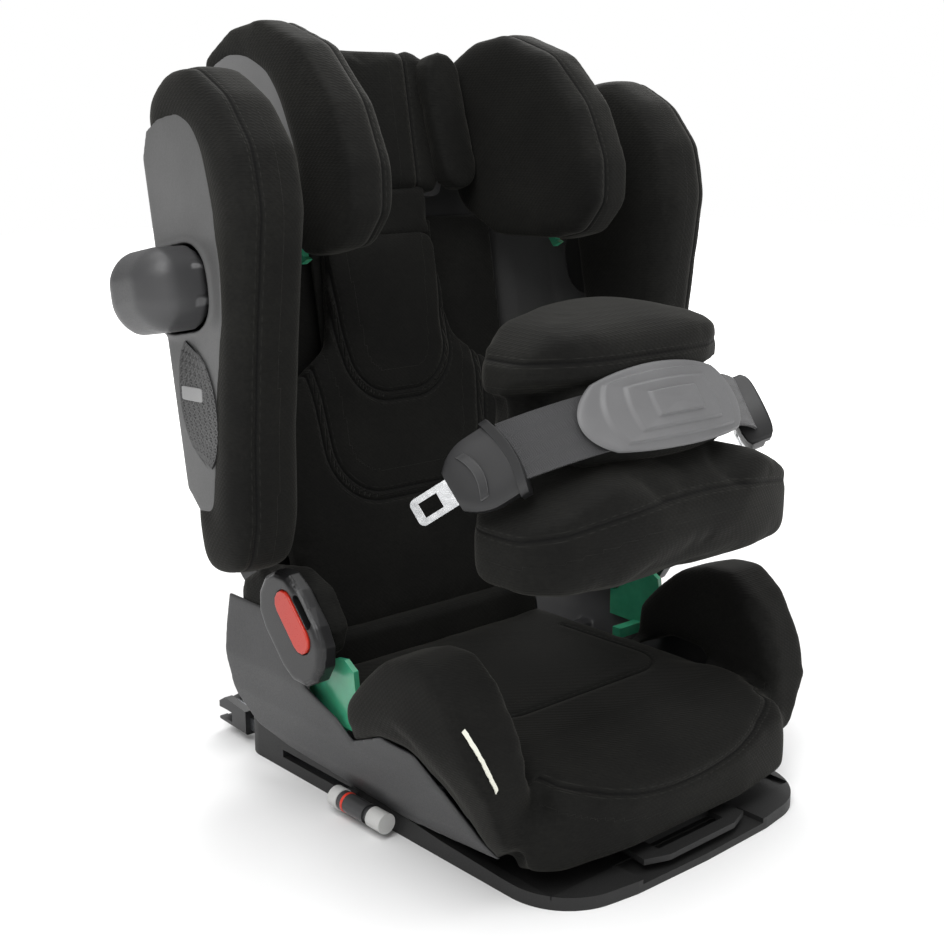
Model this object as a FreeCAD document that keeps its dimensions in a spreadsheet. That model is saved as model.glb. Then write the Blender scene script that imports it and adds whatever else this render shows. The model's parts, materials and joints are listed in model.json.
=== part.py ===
"""High-backed child car seat with a removable impact shield, on a sliding anchor base.

Axes: X across the seat, -Y towards the child's feet, +Z up.  Millimetres.
The origin lies in the middle of the underside of the base.
Backrest parts are drawn upright about the backrest hinge and leaned back together.
"""
import FreeCAD, Part
import Sketcher
import math
import os

DOC = FreeCAD.newDocument("child_seat")
VEC = FreeCAD.Vector

# ---------------------------------------------------------------- driving sizes

SIZES = (
    # the base
    ("base_half", 157.0, "half the width of the base; the widths above it follow"),
    ("base_front", 245.0, "origin to the bowed front edge of the base"),
    ("base_rear", 187.0, "origin to the rear wall of the base"),
    ("base_tall", 50.0, "height of the rear end of the base walls"),
    ("base_wall", 10.0, "thickness of the base walls"),
    ("base_plate", 8.0, "height of the floor of the base"),
    ("front_bow", 13.0, "how far the front edge bows forward"),
    ("corner_round", 58.0, "front corner radius of the base, seen from above"),
    ("mat_thick", 1.5, "rubber mat let into the underside of the base"),
    ("notch_half", 75.0, "half the width of the handle recess in the front rim"),
    # recline
    ("swing_y", 60.0, "recline centre, from the origin"),
    ("swing_z", 500.0, "recline centre, above the floor"),
    ("rail_radius", 478.0, "running surface of the recline rails"),
    ("rail_thick", 3.0, "steel of the recline rails"),
    ("rail_wide", 16.0, "width of a recline rail"),
    ("rail_out", 85.0, "centre of the seat to the middle of a rail"),
    ("run_gap", 0.6, "clearance between parts that slide on each other"),
    # anchor frame
    ("anchor_out", 140.0, "half the spacing of the two car anchors"),
    ("bar_thick", 12.0, "square steel bar of the anchor frame"),
    ("bar_low", 12.0, "underside of the anchor bars"),
    ("anchor_travel", 100.0, "how far the anchor frame pulls out"),
    ("knob_round", 8.5, "radius of the release knobs"),
    ("knob_out", 14.5, "base side to the middle of a release knob"),
    ("button_travel", 5.0, "press of a release button"),
    # booster
    ("shell_wall", 3.0, "wall of the booster side shells"),
    ("shell_flare", 42.5, "how far a side shell stands out past the base"),
    ("pan_low", 56.0, "underside of the seat pan"),
    ("pan_thick", 6.0, "seat pan wall"),
    ("cushion_top", 101.0, "top of the seat cushion"),
    ("cushion_half", 149.0, "half the width of the seat cushion"),
    ("roll_front", 233.0, "front of the cushion roll"),
    ("bolster_top", 188.0, "top of the side bolsters"),
    ("soft_gap", 0.8, "clearance around soft parts"),
    ("pod_wide", 33.0, "end radius of a buckle pod"),
    ("pod_thick", 16.0, "depth of a buckle pod"),
    ("press_wide", 11.5, "end radius of a buckle button"),
    ("press_travel", 4.0, "press of a buckle button"),
    # backrest
    ("hinge_y", 112.0, "backrest hinge, from the origin"),
    ("hinge_z", 96.0, "backrest hinge, above the floor"),
    ("lean", 10.0, "lean of the backrest, in degrees"),
    ("stud_round", 8.0, "radius of the hinge studs"),
    ("stud_gap", 0.1, "radial clearance of studs and tubes in their holes"),
    ("back_half", 164.0, "half the width of the back shell"),
    ("back_top", 505.0, "top of the back shell, along the backrest"),
    ("back_deck", 18.0, "front deck of the back shell, behind the hinge plane"),
    ("back_deep", 28.0, "depth of the back shell"),
    ("pad_front", 14.0, "front of the back pad, ahead of the hinge plane"),
    ("wing_outer", 105.0, "how far a shoulder wing stands out past the base"),
    ("wing_thick", 58.0, "thickness of a shoulder wing"),
    ("wing_top", 512.0, "top of the shoulder wings, along the backrest"),
    ("wing_low", 112.0, "lower end of the shoulder wings"),
    ("wing_wall", 4.0, "wall of the wing shells"),
    ("guard_long", 84.0, "side protector, front to back"),
    ("guard_tall", 66.0, "side protector, top to bottom"),
    ("guard_out", 50.0, "how far a side protector stands out"),
    # headrest
    ("tube_round", 5.0, "radius of the headrest guide tubes"),
    ("tube_out", 45.0, "centre to the middle of a guide tube"),
    ("head_top", 560.0, "top of the headrest when it is down"),
    ("head_half", 158.0, "half the width of the headrest"),
    # impact shield
    ("shield_half", 155.0, "half the width of the lower shield lobe"),
    ("shield_low", 236.0, "underside of the shield above the floor"),
    ("strap_wide", 47.0, "width of the belt webbing"),
    ("strap_thick", 2.0, "thickness of the belt webbing"),
    ("panel_half", 92.0, "half the width of the ridged shield panel"),
)


class Size:
    """A length that knows its value now and the sheet expression that gives it."""

    def __init__(self, value, text):
        self.value = float(value)
        self.text = text

    def __add__(self, other):
        return Size(self.value + now(other), f"({self.text} + {text_of(other)})")

    def __sub__(self, other):
        return Size(self.value - now(other), f"({self.text} - {text_of(other)})")

    def __mul__(self, other):
        return Size(self.value * now(other), f"({self.text} * {text_of(other)})")

    def __neg__(self):
        return Size(-self.value, f"(-1 * {self.text})")

    def __radd__(self, other):
        return as_size(other) + self

    def __rsub__(self, other):
        return as_size(other) - self

    def __rmul__(self, other):
        return as_size(other) * self


def now(length):
    return length.value if isinstance(length, Size) else float(length)


def text_of(length):
    return length.text if isinstance(length, Size) else f"{float(length):.6f}"


def as_size(length):
    return length if isinstance(length, Size) else Size(length, text_of(length))


def fill_sheet():
    """Write the driving sizes to the sheet and give them back by name."""
    sheet = DOC.addObject("Spreadsheet::Sheet", "Sizes")
    lengths = {}
    for row, (name, value, meaning) in enumerate(SIZES, start=1):
        sheet.set(f"A{row}", str(value))
        sheet.setAlias(f"A{row}", name)
        sheet.set(f"B{row}", meaning)
        lengths[name] = Size(value, f"Sizes.{name}")
    DOC.recompute()
    return lengths


S = fill_sheet()
PARTS = []

# ---------------------------------------------------------------- modelling helpers


def new_body(label):
    body = DOC.addObject("PartDesign::Body", label)
    body.Label = label
    PARTS.append(body)
    return body


def bind(item, prop, length):
    item.setExpression(prop, text_of(length))


def flat_sketch(body, plane, level):
    """A sketch on one of the body's own origin planes, moved along its normal."""
    sketch = body.newObject("Sketcher::SketchObject", "Outline")
    face = [f for f in body.Origin.OriginFeatures if f.Role == plane + "_Plane"][0]
    sketch.AttachmentSupport = [(face, "")]
    sketch.MapMode = "FlatFace"
    sketch.AttachmentOffset = FreeCAD.Placement(VEC(0, 0, now(level)), FreeCAD.Rotation())
    bind(sketch, "AttachmentOffset.Base.z", level)
    return sketch


def pin_point(sketch, geometry, end, point):
    """Hold one end of a line, or a circle's centre, at a point given by sizes."""
    for kind, length in (("DistanceX", point[0]), ("DistanceY", point[1])):
        index = sketch.addConstraint(Sketcher.Constraint(kind, -1, 1, geometry, end, now(length)))
        bind(sketch, f"Constraints[{index}]", length)


def draw_polygon(sketch, points):
    first = sketch.GeometryCount
    count = len(points)
    for i in range(count):
        start = points[i]
        end = points[(i + 1) % count]
        sketch.addGeometry(Part.LineSegment(VEC(now(start[0]), now(start[1]), 0),
                                            VEC(now(end[0]), now(end[1]), 0)))
    for i in range(count):
        following = first + (i + 1) % count
        sketch.addConstraint(Sketcher.Constraint("Coincident", first + i, 2, following, 1))
        pin_point(sketch, first + i, 1, points[i])


def draw_circle(sketch, centre, radius):
    index = sketch.addGeometry(Part.Circle(VEC(now(centre[0]), now(centre[1]), 0),
                                           VEC(0, 0, 1), now(radius)))
    pin_point(sketch, index, 3, centre)
    limit = sketch.addConstraint(Sketcher.Constraint("Radius", index, now(radius)))
    bind(sketch, f"Constraints[{limit}]", radius)


def span_of(plane, low, high):
    """Sketch level and thickness for a slab between two places on the plane's axis."""
    thickness = as_size(high) - low
    level = -as_size(high) if plane == "XZ" else as_size(low)
    return level, thickness


def slab(body, plane, low, high, *outlines, cut=False):
    """Pad or pocket outlines between two places; an outline is points or (centre, radius)."""
    level, thickness = span_of(plane, low, high)
    sketch = flat_sketch(body, plane, level)
    for outline in outlines:
        if isinstance(outline, tuple):
            draw_circle(sketch, *outline)
        else:
            draw_polygon(sketch, outline)
    before = body.Shape.Volume if body.Tip else 0.0
    feature = body.newObject("PartDesign::Pocket" if cut else "PartDesign::Pad", "Slab")
    feature.Profile = sketch
    bind(feature, "Length", thickness)
    feature.Reversed = cut
    DOC.recompute()
    if cut and body.Shape.Volume > before - 1.0:
        raise RuntimeError(f"{body.Label}: a pocket removes nothing")
    return feature


def pocket(body, plane, low, high, *outlines):
    return slab(body, plane, low, high, *outlines, cut=True)


def side_span(side, near, far):
    """Two places across the seat in rising order; near and far are measured from its middle."""
    return (near, far) if side > 0 else (-as_size(far), -as_size(near))


def box_outline(low, high):
    return [low, (high[0], low[1]), high, (low[0], high[1])]


def is_sharp(shape, edge):
    """False where the two faces beside an edge are almost in line."""
    middle = edge.valueAt((edge.FirstParameter + edge.LastParameter) / 2)
    faces = shape.ancestorsOfType(edge, Part.Face)
    normals = [face.normalAt(*face.Surface.parameter(middle)) for face in faces]
    return len(normals) == 2 and math.degrees(normals[0].getAngle(normals[1])) > 9.0


def round_edges(body, radius, chosen):
    """Fillet the body's sharp edges that a test picks."""
    shape = body.Shape
    names = [f"Edge{i}" for i, edge in enumerate(shape.Edges, start=1)
             if chosen(edge) and is_sharp(shape, edge)]
    base = body.Tip
    fillet = body.newObject("PartDesign::Fillet", "Rounding")
    fillet.Base = (base, names)
    bind(fillet, "Radius", radius)
    DOC.recompute()
    if not names or "Invalid" in fillet.State:
        raise RuntimeError(f"{body.Label}: rounding of {len(names)} edges fails")
    return fillet


def along(axis):
    """Test for straight edges along an axis."""
    def chosen(edge):
        if edge.Curve.TypeId != "Part::GeomLine":
            return False
        return abs(edge.Curve.Direction.dot(axis)) > 0.999
    return chosen


def at_place(axis, place):
    """Test for edges that lie wholly at one place along an axis."""
    def chosen(edge):
        ends = edge.BoundBox
        low = VEC(ends.XMin, ends.YMin, ends.ZMin).dot(axis)
        high = VEC(ends.XMax, ends.YMax, ends.ZMax).dot(axis)
        return abs(low - now(place)) < 0.01 and abs(high - now(place)) < 0.01
    return chosen


X_AXIS = VEC(1, 0, 0)
Y_AXIS = VEC(0, 1, 0)
Z_AXIS = VEC(0, 0, 1)


def lean_back(item):
    """Put a part that was drawn upright about the hinge at its leaned place."""
    item.Placement = FreeCAD.Placement(VEC(0, S["hinge_y"].value, S["hinge_z"].value),
                                       FreeCAD.Rotation(-X_AXIS, S["lean"].value))
    bind(item, "Placement.Base.y", S["hinge_y"])
    bind(item, "Placement.Base.z", S["hinge_z"])
    bind(item, "Placement.Rotation.Angle", S["lean"])


def mirrored(item, label):
    """The right-hand copy of a left-hand part."""
    copy = DOC.addObject("Part::Mirroring", label)
    copy.Label = label
    copy.Source = item
    copy.Normal = X_AXIS
    PARTS.append(copy)
    return copy


def pair_of(build, name, *, leaned=False):
    """A left-hand part and its mirrored right-hand twin."""
    body = new_body(name + "_left")
    build(body)
    if leaned:
        lean_back(body)
    DOC.recompute()
    mirrored(body, name + "_right")


def pill(centre, radius, half_long, degrees):
    """Outline of a long round-ended shape, leaning in its plane."""
    steps = 6
    turn = math.radians(degrees)
    points = []
    for end in (1, -1):
        for i in range(steps + 1):
            angle = turn + math.pi * (i / steps - 0.5) + (0 if end == 1 else math.pi)
            points.append((centre[0] + half_long * (end * math.cos(turn)) + radius * math.cos(angle),
                           centre[1] + half_long * (end * math.sin(turn)) + radius * math.sin(angle)))
    return points


def round_box(centre, half_long, half_tall, radius):
    """Outline of a box with round corners, in short straight steps."""
    steps = 5
    points = []
    for corner, (left, up) in enumerate(((1, 1), (-1, 1), (-1, -1), (1, -1))):
        for i in range(steps + 1):
            angle = math.radians(90.0 * (corner + i / steps))
            points.append((centre[0] + left * (half_long - radius) + radius * math.cos(angle),
                           centre[1] + up * (half_tall - radius) + radius * math.sin(angle)))
    return points


# ---------------------------------------------------------------- base

HALF = S["base_half"]
FRONT = -S["base_front"]
REAR = S["base_rear"]


def base_outline(inset):
    """The base from above; the front edge bows forward."""
    side = HALF - inset
    straight = FRONT + S["front_bow"] + inset
    return [(-side, REAR - inset), (-side, straight), (-80.0, FRONT + inset + 2.0), (0.0, FRONT + inset),
            (80.0, FRONT + inset + 2.0), (side, straight), (side, REAR - inset)]


def build_base_tray():
    body = new_body("base_tray")
    slab(body, "XY", 0.0, S["base_tall"], base_outline(0.0))
    round_edges(body, S["corner_round"], lambda e: along(Z_AXIS)(e) and e.BoundBox.YMin < -150
                and abs(e.BoundBox.XMin) > 100)
    round_edges(body, 24.0, lambda e: along(Z_AXIS)(e) and e.BoundBox.YMin > 100)
    inner = HALF - S["base_wall"]
    slab_front = FRONT + S["base_wall"] * 3.0
    pocket(body, "XY", S["base_plate"], S["base_tall"],
           box_outline((-inner, slab_front), (inner, REAR - S["base_wall"])))
    # the tops of the walls fall away towards the front
    above = S["base_tall"] + 5.0
    pocket(body, "YZ", -HALF - 5.0, HALF + 5.0,
           [(REAR + 5.0, above), (REAR + 5.0, S["base_tall"]), (REAR - 60.0, S["base_tall"] - 7.0),
            (S["swing_y"], 28.0), (-100.0, 15.0), (-170.0, 12.0), (FRONT - 5.0, 10.5),
            (FRONT - 5.0, above)])
    # recess under the recline handle
    pocket(body, "XY", S["base_plate"] - 1.5, S["base_tall"],
           box_outline((-S["notch_half"], FRONT - 5.0), (S["notch_half"], slab_front + 5.0)))
    # slots for the knob stems in both side walls, and windows for the anchor bars
    stem_low = S["bar_low"] - S["run_gap"]
    stem_high = S["bar_low"] + 6.0 + S["run_gap"]
    pocket(body, "YZ", -HALF - 5.0, HALF + 5.0,
           box_outline((10.0 - S["run_gap"] * 2.0, stem_low),
                       (22.0 + S["anchor_travel"] + S["run_gap"] * 2.0, stem_high)))
    slot = S["run_gap"] + 0.4
    for side in (-1.0, 1.0):
        middle = side * S["anchor_out"]
        half = S["bar_thick"] * 0.5 + slot
        pocket(body, "XZ", REAR - S["base_wall"] - 5.0, REAR + 5.0,
               box_outline((middle - half, S["bar_low"] - slot),
                           (middle + half, S["bar_low"] + S["bar_thick"] + slot)))
    # recess for the rubber mat
    pocket(body, "XY", 0.0, S["mat_thick"],
           box_outline((-HALF + 25.0, FRONT + 45.0), (HALF - 25.0, REAR - 25.0)))
    # blocks that carry the ends of the recline rails
    for side in (-1.0, 1.0):
        middle = side * S["rail_out"]
        half = S["rail_wide"] * 0.5
        for near, far in ((-19.2, -16.0), (8.5, 11.2)):
            under = S["rail_radius"] + S["rail_thick"] + 0.25
            slab(body, "YZ", middle - half, middle + half,
                 [swing_point(under, near), swing_point(under, far),
                  (swing_point(under, far)[0], S["base_plate"] - 1.0),
                  (swing_point(under, near)[0], S["base_plate"] - 1.0)])
    return body


def swing_point(radius, degrees):
    """A point at a radius and angle about the recline centre."""
    angle = math.radians(degrees)
    return (S["swing_y"] + radius * math.sin(angle), S["swing_z"] - radius * math.cos(angle))


def build_base_mat():
    body = new_body("base_mat")
    slab(body, "XY", 0.0, S["mat_thick"],
         box_outline((-HALF + 25.5, FRONT + 45.5), (HALF - 25.5, REAR - 25.5)))
    round_edges(body, 12.0, along(Z_AXIS))


def build_rail(side, label):
    """A steel strip bent to the recline radius."""
    disc = DOC.addObject("Part::Cylinder", label + "_outside")
    bind(disc, "Radius", S["rail_radius"] + S["rail_thick"])
    core = DOC.addObject("Part::Cylinder", label + "_inside")
    bind(core, "Radius", S["rail_radius"])
    for drum in (disc, core):
        bind(drum, "Height", S["rail_wide"])
        drum.Angle = 30.4
    rail = DOC.addObject("Part::Cut", label)
    rail.Base = disc
    rail.Tool = core
    rail.Label = label
    # the drum's axis is turned along X, and its segment hangs below the centre
    across = FreeCAD.Rotation(Y_AXIS, 90)
    swing = FreeCAD.Rotation(X_AXIS, -19.2)
    start = side * S["rail_out"] - S["rail_wide"] * 0.5
    rail.Placement = FreeCAD.Placement(VEC(start.value, S["swing_y"].value, S["swing_z"].value),
                                       swing.multiply(across))
    bind(rail, "Placement.Base.x", start)
    bind(rail, "Placement.Base.y", S["swing_y"])
    bind(rail, "Placement.Base.z", S["swing_z"])
    PARTS.append(rail)


build_base_tray()
build_base_mat()
build_rail(-1.0, "recline_rail_left")
build_rail(1.0, "recline_rail_right")

# ---------------------------------------------------------------- anchor frame and its releases

BAR_END = REAR + 6.0


def build_anchor_frame():
    """Two square bars joined by a flat cross strip, welded into one frame."""
    body = new_body("anchor_frame")
    half = S["bar_thick"] * 0.5
    low = S["bar_low"]
    for side in (-1.0, 1.0):
        middle = side * S["anchor_out"]
        slab(body, "XZ", -30.0, BAR_END,
             box_outline((middle - half, low), (middle + half, low + S["bar_thick"])))
        if side < 0:
            slab(body, "XY", S["base_plate"] + 1.0, S["base_plate"] + 7.0,
                 box_outline((-S["anchor_out"] - half, -30.0), (S["anchor_out"] + half, -14.0)))


CONNECTOR_END = BAR_END + 46.0
JAW_Y = BAR_END + 20.0
JAW_Z = S["bar_low"] + 15.0


def build_connector(body):
    """Plastic head of an anchor bar, slotted for the jaw and open to the rear for the anchor."""
    middle = -S["anchor_out"]
    low = S["bar_low"] - 4.0
    high = S["bar_low"] + 24.0
    slab(body, "YZ", middle - 12.0, middle + 12.0,
         [(BAR_END, low), (CONNECTOR_END, low + 2.0), (CONNECTOR_END, high - 6.0),
          (CONNECTOR_END - 10.0, high), (BAR_END, high - 4.0)])
    round_edges(body, 2.5, along(Y_AXIS))
    pocket(body, "YZ", middle - 13.0, middle + 13.0,
           box_outline((CONNECTOR_END - 22.0, S["bar_low"] + 2.0),
                       (CONNECTOR_END + 5.0, S["bar_low"] + 12.0)))
    pocket(body, "YZ", middle - 3.5, middle + 3.5,
           box_outline((BAR_END + 8.0, S["bar_low"] + 1.0), (CONNECTOR_END + 5.0, high + 5.0)))


def build_jaw(body):
    """Steel hook that closes behind the car's anchor wire."""
    middle = -S["anchor_out"]
    slab(body, "YZ", middle - 2.5, middle + 2.5,
         [(JAW_Y - 8.0, JAW_Z - 5.0), (JAW_Y - 6.0, JAW_Z + 4.0), (JAW_Y + 14.0, JAW_Z + 5.0),
          (JAW_Y + 24.0, JAW_Z), (JAW_Y + 24.0, JAW_Z - 11.0), (JAW_Y + 19.0, JAW_Z - 11.0),
          (JAW_Y + 17.0, JAW_Z - 3.0), (JAW_Y, JAW_Z - 5.0)])


KNOB_X = -(HALF + S["knob_out"])
KNOB_Z = S["bar_low"] + 3.0
KNOB_NOSE = -36.0


def build_knob_sleeve(body):
    """Hand grip of the anchor frame, outside the base wall, on a stem through the slot."""
    slab(body, "XZ", KNOB_NOSE + 12.0, 22.0, ((KNOB_X, KNOB_Z), S["knob_round"]))
    slab(body, "XZ", KNOB_NOSE, KNOB_NOSE + 12.0, ((KNOB_X, KNOB_Z), S["knob_round"] - 1.8))
    slab(body, "XZ", 10.0, 22.0,
         box_outline((KNOB_X, S["bar_low"]),
                     (-S["anchor_out"] - S["bar_thick"] * 0.5, S["bar_low"] + 6.0)))


def build_knob_cap(body):
    """Push button that slides over the nose of the sleeve."""
    rim = KNOB_NOSE + 12.0 - S["button_travel"] - 1.0
    face = KNOB_NOSE - S["button_travel"] - 7.0
    slab(body, "XZ", face, rim, ((KNOB_X, KNOB_Z), S["knob_round"] + 0.3))
    pocket(body, "XZ", KNOB_NOSE - S["button_travel"] - 1.0, rim + 1.0,
           ((KNOB_X, KNOB_Z), S["knob_round"] - 1.5))


build_anchor_frame()
pair_of(build_connector, "anchor_head")
pair_of(build_jaw, "anchor_jaw")
pair_of(build_knob_sleeve, "knob_sleeve")
pair_of(build_knob_cap, "knob_cap")

# ---------------------------------------------------------------- booster

PAN_TOP = S["pan_low"] + S["pan_thick"]
EAR_IN = 120.0
EAR_OUT = 132.0


def build_seat_pan():
    """Moulded pan with shoes that run on the rails and ears for the backrest hinge."""
    body = new_body("seat_pan")
    half = S["cushion_half"] - 1.0
    slab(body, "XY", S["pan_low"], PAN_TOP, box_outline((-half, -176.0), (half, 134.0)))
    for side in (-1.0, 1.0):
        middle = side * S["rail_out"]
        for near, far in ((-8.5, -5.5), (5.5, 8.5)):
            ride = S["rail_radius"] - S["run_gap"]
            top = S["pan_low"] + 1.0
            slab(body, "YZ", middle - 9.0, middle + 9.0,
                 [swing_point(ride, near), swing_point(ride, far),
                  (swing_point(ride, far)[0], top), (swing_point(ride, near)[0], top)])
        low, high = side_span(side, EAR_IN, EAR_OUT)
        slab(body, "YZ", low, high,
             [(S["hinge_y"] - 20.0, PAN_TOP - 1.0), (S["hinge_y"] + 20.0, PAN_TOP - 1.0),
              (S["hinge_y"] + 13.0, S["hinge_z"] + 13.0), (S["hinge_y"] - 13.0, S["hinge_z"] + 13.0)])
        pocket(body, "YZ", low - 1.0, high + 1.0,
               ((S["hinge_y"], S["hinge_z"]), S["stud_round"] + S["stud_gap"]))
    # brackets that carry the side shells and the bolsters
    for side in (-1.0, 1.0):
        low, high = side_span(side, half - 8.0, half)
        slab(body, "YZ", low, high, box_outline((-150.0, PAN_TOP - 1.0), (80.0, PAN_TOP + 24.0)))


def build_seat_cushion():
    """Seat cushion; its front edge rolls down over the front of the pan."""
    body = new_body("seat_cushion")
    top = S["cushion_top"]
    low = PAN_TOP + S["soft_gap"]
    front = -S["roll_front"]
    half = S["cushion_half"] - 10.0
    slab(body, "YZ", -half, half,
         [(S["hinge_y"] - 24.0, low), (S["hinge_y"] - 16.0, top - 3.0), (0.0, top - 2.0),
          (-150.0, top), (-205.0, top - 12.0), (front + 5.0, low + 9.0), (front + 5.0, low)])
    round_edges(body, 4.0, along(X_AXIS))
    wide = S["cushion_half"] + 13.0
    slot = S["cushion_half"] + 1.0
    slab(body, "XY", 21.0, low + 4.0,
         [(-slot, -178.0), (-slot, -199.5), (-wide, -199.5), (-wide + 26.0, -220.0), (-70.0, front + 3.0),
          (70.0, front + 3.0), (wide - 26.0, -220.0), (wide, -199.5), (slot, -199.5), (slot, -178.0)])
    round_edges(body, 9.0, lambda e: at_place(Z_AXIS, 21.0)(e) and e.BoundBox.YMin < -200)
    for side in (-1.0, 1.0):
        pocket(body, "XY", 60.0, top + 5.0,
               [(side * 70.0, front - 2.0), (side * 150.0, front - 2.0), (side * 150.0, -206.0),
                (side * 136.0, -219.0), (side * 70.0, front + 4.0)])


def shell_boundary(shift):
    """Where the bolster cover meets the side shell, from its rear end to its front end."""
    return [(-28.0, 88.0 + shift), (-71.0, 107.0 + shift), (-112.0, 105.0 + shift),
            (-140.0, 82.0 + shift), (-160.0, 57.0 + shift), (-177.0, 32.0 + shift)]


def build_side_shell(body):
    """Moulded side of the booster: it flares out from the base, then stands upright."""
    low = HALF + 4.0
    out = HALF + S["shell_flare"]
    wall = S["shell_wall"]
    section = [(-low, 14.0), (-low, 26.0), (-low - 14.0, 46.0), (-out + 9.0, 84.0), (-out, 120.0),
               (-out, 200.0), (-out + wall, 200.0), (-out + wall, 120.0), (-out + 9.0 + wall, 85.0),
               (-low - 14.0 + wall, 47.5), (-low + wall, 27.0), (-low + wall, 14.0)]
    slab(body, "XZ", -190.0, 160.0, section)
    outline = [(26.0, 122.0), (-13.0, 103.0), *shell_boundary(0.0),
               (-121.0, 24.0), (-58.0, 20.0), (34.0, 25.0), (100.0, 32.0), (136.0, 47.0), (151.0, 74.0), (149.0, 110.0), (144.0, 146.0),
               (137.0, 176.0), (75.0, 176.0), (30.0, 176.0), (24.0, 150.0)]
    pocket(body, "YZ", -out - 20.0, -low + 20.0,
           box_outline((-230.0, -10.0), (200.0, 260.0)), outline)
    # bracket that ties the shell to the pan
    inner = S["cushion_half"] - 0.5
    slab(body, "XZ", 60.0, 76.0, box_outline((-out + 16.0, PAN_TOP + 6.0), (-inner, PAN_TOP + 18.0)))


def build_bolster(body):
    """Padded side of the seat, over the front of the side shell."""
    inner = S["cushion_half"] + 2.0
    top = S["bolster_top"]
    outer = HALF + S["shell_flare"] + 6.0
    lower = shell_boundary(S["soft_gap"])
    slab(body, "YZ", -outer, -inner,
         [*lower, (-198.0, 50.0), (-198.0, 95.0), (-186.0, 132.0), (-166.0, top - 20.0),
          (-140.0, top), (-112.0, top - 1.0), (-80.0, top - 12.0), (-54.0, top - 34.0), (-34.0, 132.0)])
    round_edges(body, 9.0, lambda e: at_place(X_AXIS, -outer)(e) and e.BoundBox.ZMin > 94)
    # its outer side leans in towards the floor with the shell beneath it
    pocket(body, "XZ", -210.0, -20.0,
           [(-outer - 2.0, 10.0), (-outer - 2.0, 116.0), (-outer + 0.4, 116.0), (-HALF - 36.0, 84.0),
            (-HALF - 21.0, 46.0), (-HALF - 8.0, 26.0), (-HALF - 8.0, 10.0)])


POD_Y = 22.0
POD_Z = 176.0
POD_TILT = 47.0
BUTTON = (POD_Y - 7.0, POD_Z + 8.0)
TONGUE_SLOT = (BUTTON[0] - 12.0, BUTTON[1] + 11.2)


def build_hip_cover(body):
    """Padded cover inside the top of a side shell, behind the buckle pod."""
    outer = HALF + S["shell_flare"] - S["shell_wall"] - S["soft_gap"]
    slab(body, "YZ", -outer, -outer + 22.0,
         [(0.0, 154.0), (-8.0, 178.0), (12.0, 206.0), (45.0, 217.0), (95.0, 208.0),
          (122.0, 192.0), (128.0, 160.0), (112.0, 126.0), (30.0, 126.0)])
    round_edges(body, 7.0, along(X_AXIS))


def build_buckle_pod(body):
    """Oval buckle on the outside of the shell, with a button and a slot for the belt tongue."""
    inner = HALF + S["shell_flare"] + 0.5
    outer = inner + S["pod_thick"]
    centre = (POD_Y, POD_Z)
    slab(body, "YZ", -outer, -inner, pill(centre, S["pod_wide"], 18.0, POD_TILT))
    round_edges(body, 7.0, at_place(X_AXIS, -outer))
    pocket(body, "YZ", -outer - 1.0, -inner - 3.0, pill(BUTTON, S["press_wide"] + 0.5, 17.0, POD_TILT))
    pocket(body, "YZ", -outer - 1.0, -inner - 3.0, pill(TONGUE_SLOT, 3.3, 12.0, POD_TILT))


def build_buckle_button(body):
    inner = HALF + S["shell_flare"] + 0.5
    outer = inner + S["pod_thick"]
    slab(body, "YZ", -outer - 1.5, -inner - 3.5 - S["press_travel"],
         pill(BUTTON, S["press_wide"], 17.0, POD_TILT))
    round_edges(body, 1.2, at_place(X_AXIS, -outer - 1.5))


def build_belt_guide(body):
    """Coloured lap belt hook in the gap between the buckle pod and the bolster."""
    outer = HALF + S["shell_flare"] - 12.0
    inner = S["cushion_half"] + 3.0
    slab(body, "YZ", -outer, -outer + 5.0,
         [(34.0, 96.0), (34.0, 122.0), (26.0, 123.0), (-4.0, 151.0), (-16.0, 153.0),
          (-28.0, 146.0), (-31.0, 124.0), (-24.0, 94.0)])
    slab(body, "YZ", -outer, -inner, box_outline((-8.0, 87.0), (2.0, 97.0)))


def build_recline_handle():
    """Pull handle under the front of the seat, with its flat pull rod."""
    body = new_body("recline_handle")
    slab(body, "XY", 13.0, 18.0,
         [(-12.0, -110.0), (-12.0, -196.0), (-58.0, -204.0), (-62.0, -232.0), (-40.0, -240.0),
          (40.0, -240.0), (62.0, -232.0), (58.0, -204.0), (12.0, -196.0), (12.0, -110.0)])
    pocket(body, "XY", 12.0, 19.0, box_outline((-40.0, -228.0), (40.0, -212.0)))


build_seat_pan()
build_seat_cushion()
pair_of(build_side_shell, "side_shell")
pair_of(build_bolster, "bolster")
pair_of(build_hip_cover, "hip_cover")
pair_of(build_buckle_pod, "buckle_pod")
pair_of(build_buckle_button, "buckle_button")
pair_of(build_belt_guide, "belt_guide")
build_recline_handle()

# ---------------------------------------------------------------- backrest

DECK = S["back_deck"]
BACK = DECK + S["back_deep"]
ARM_LOW = 200.0
ARM_HIGH = 300.0


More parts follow.
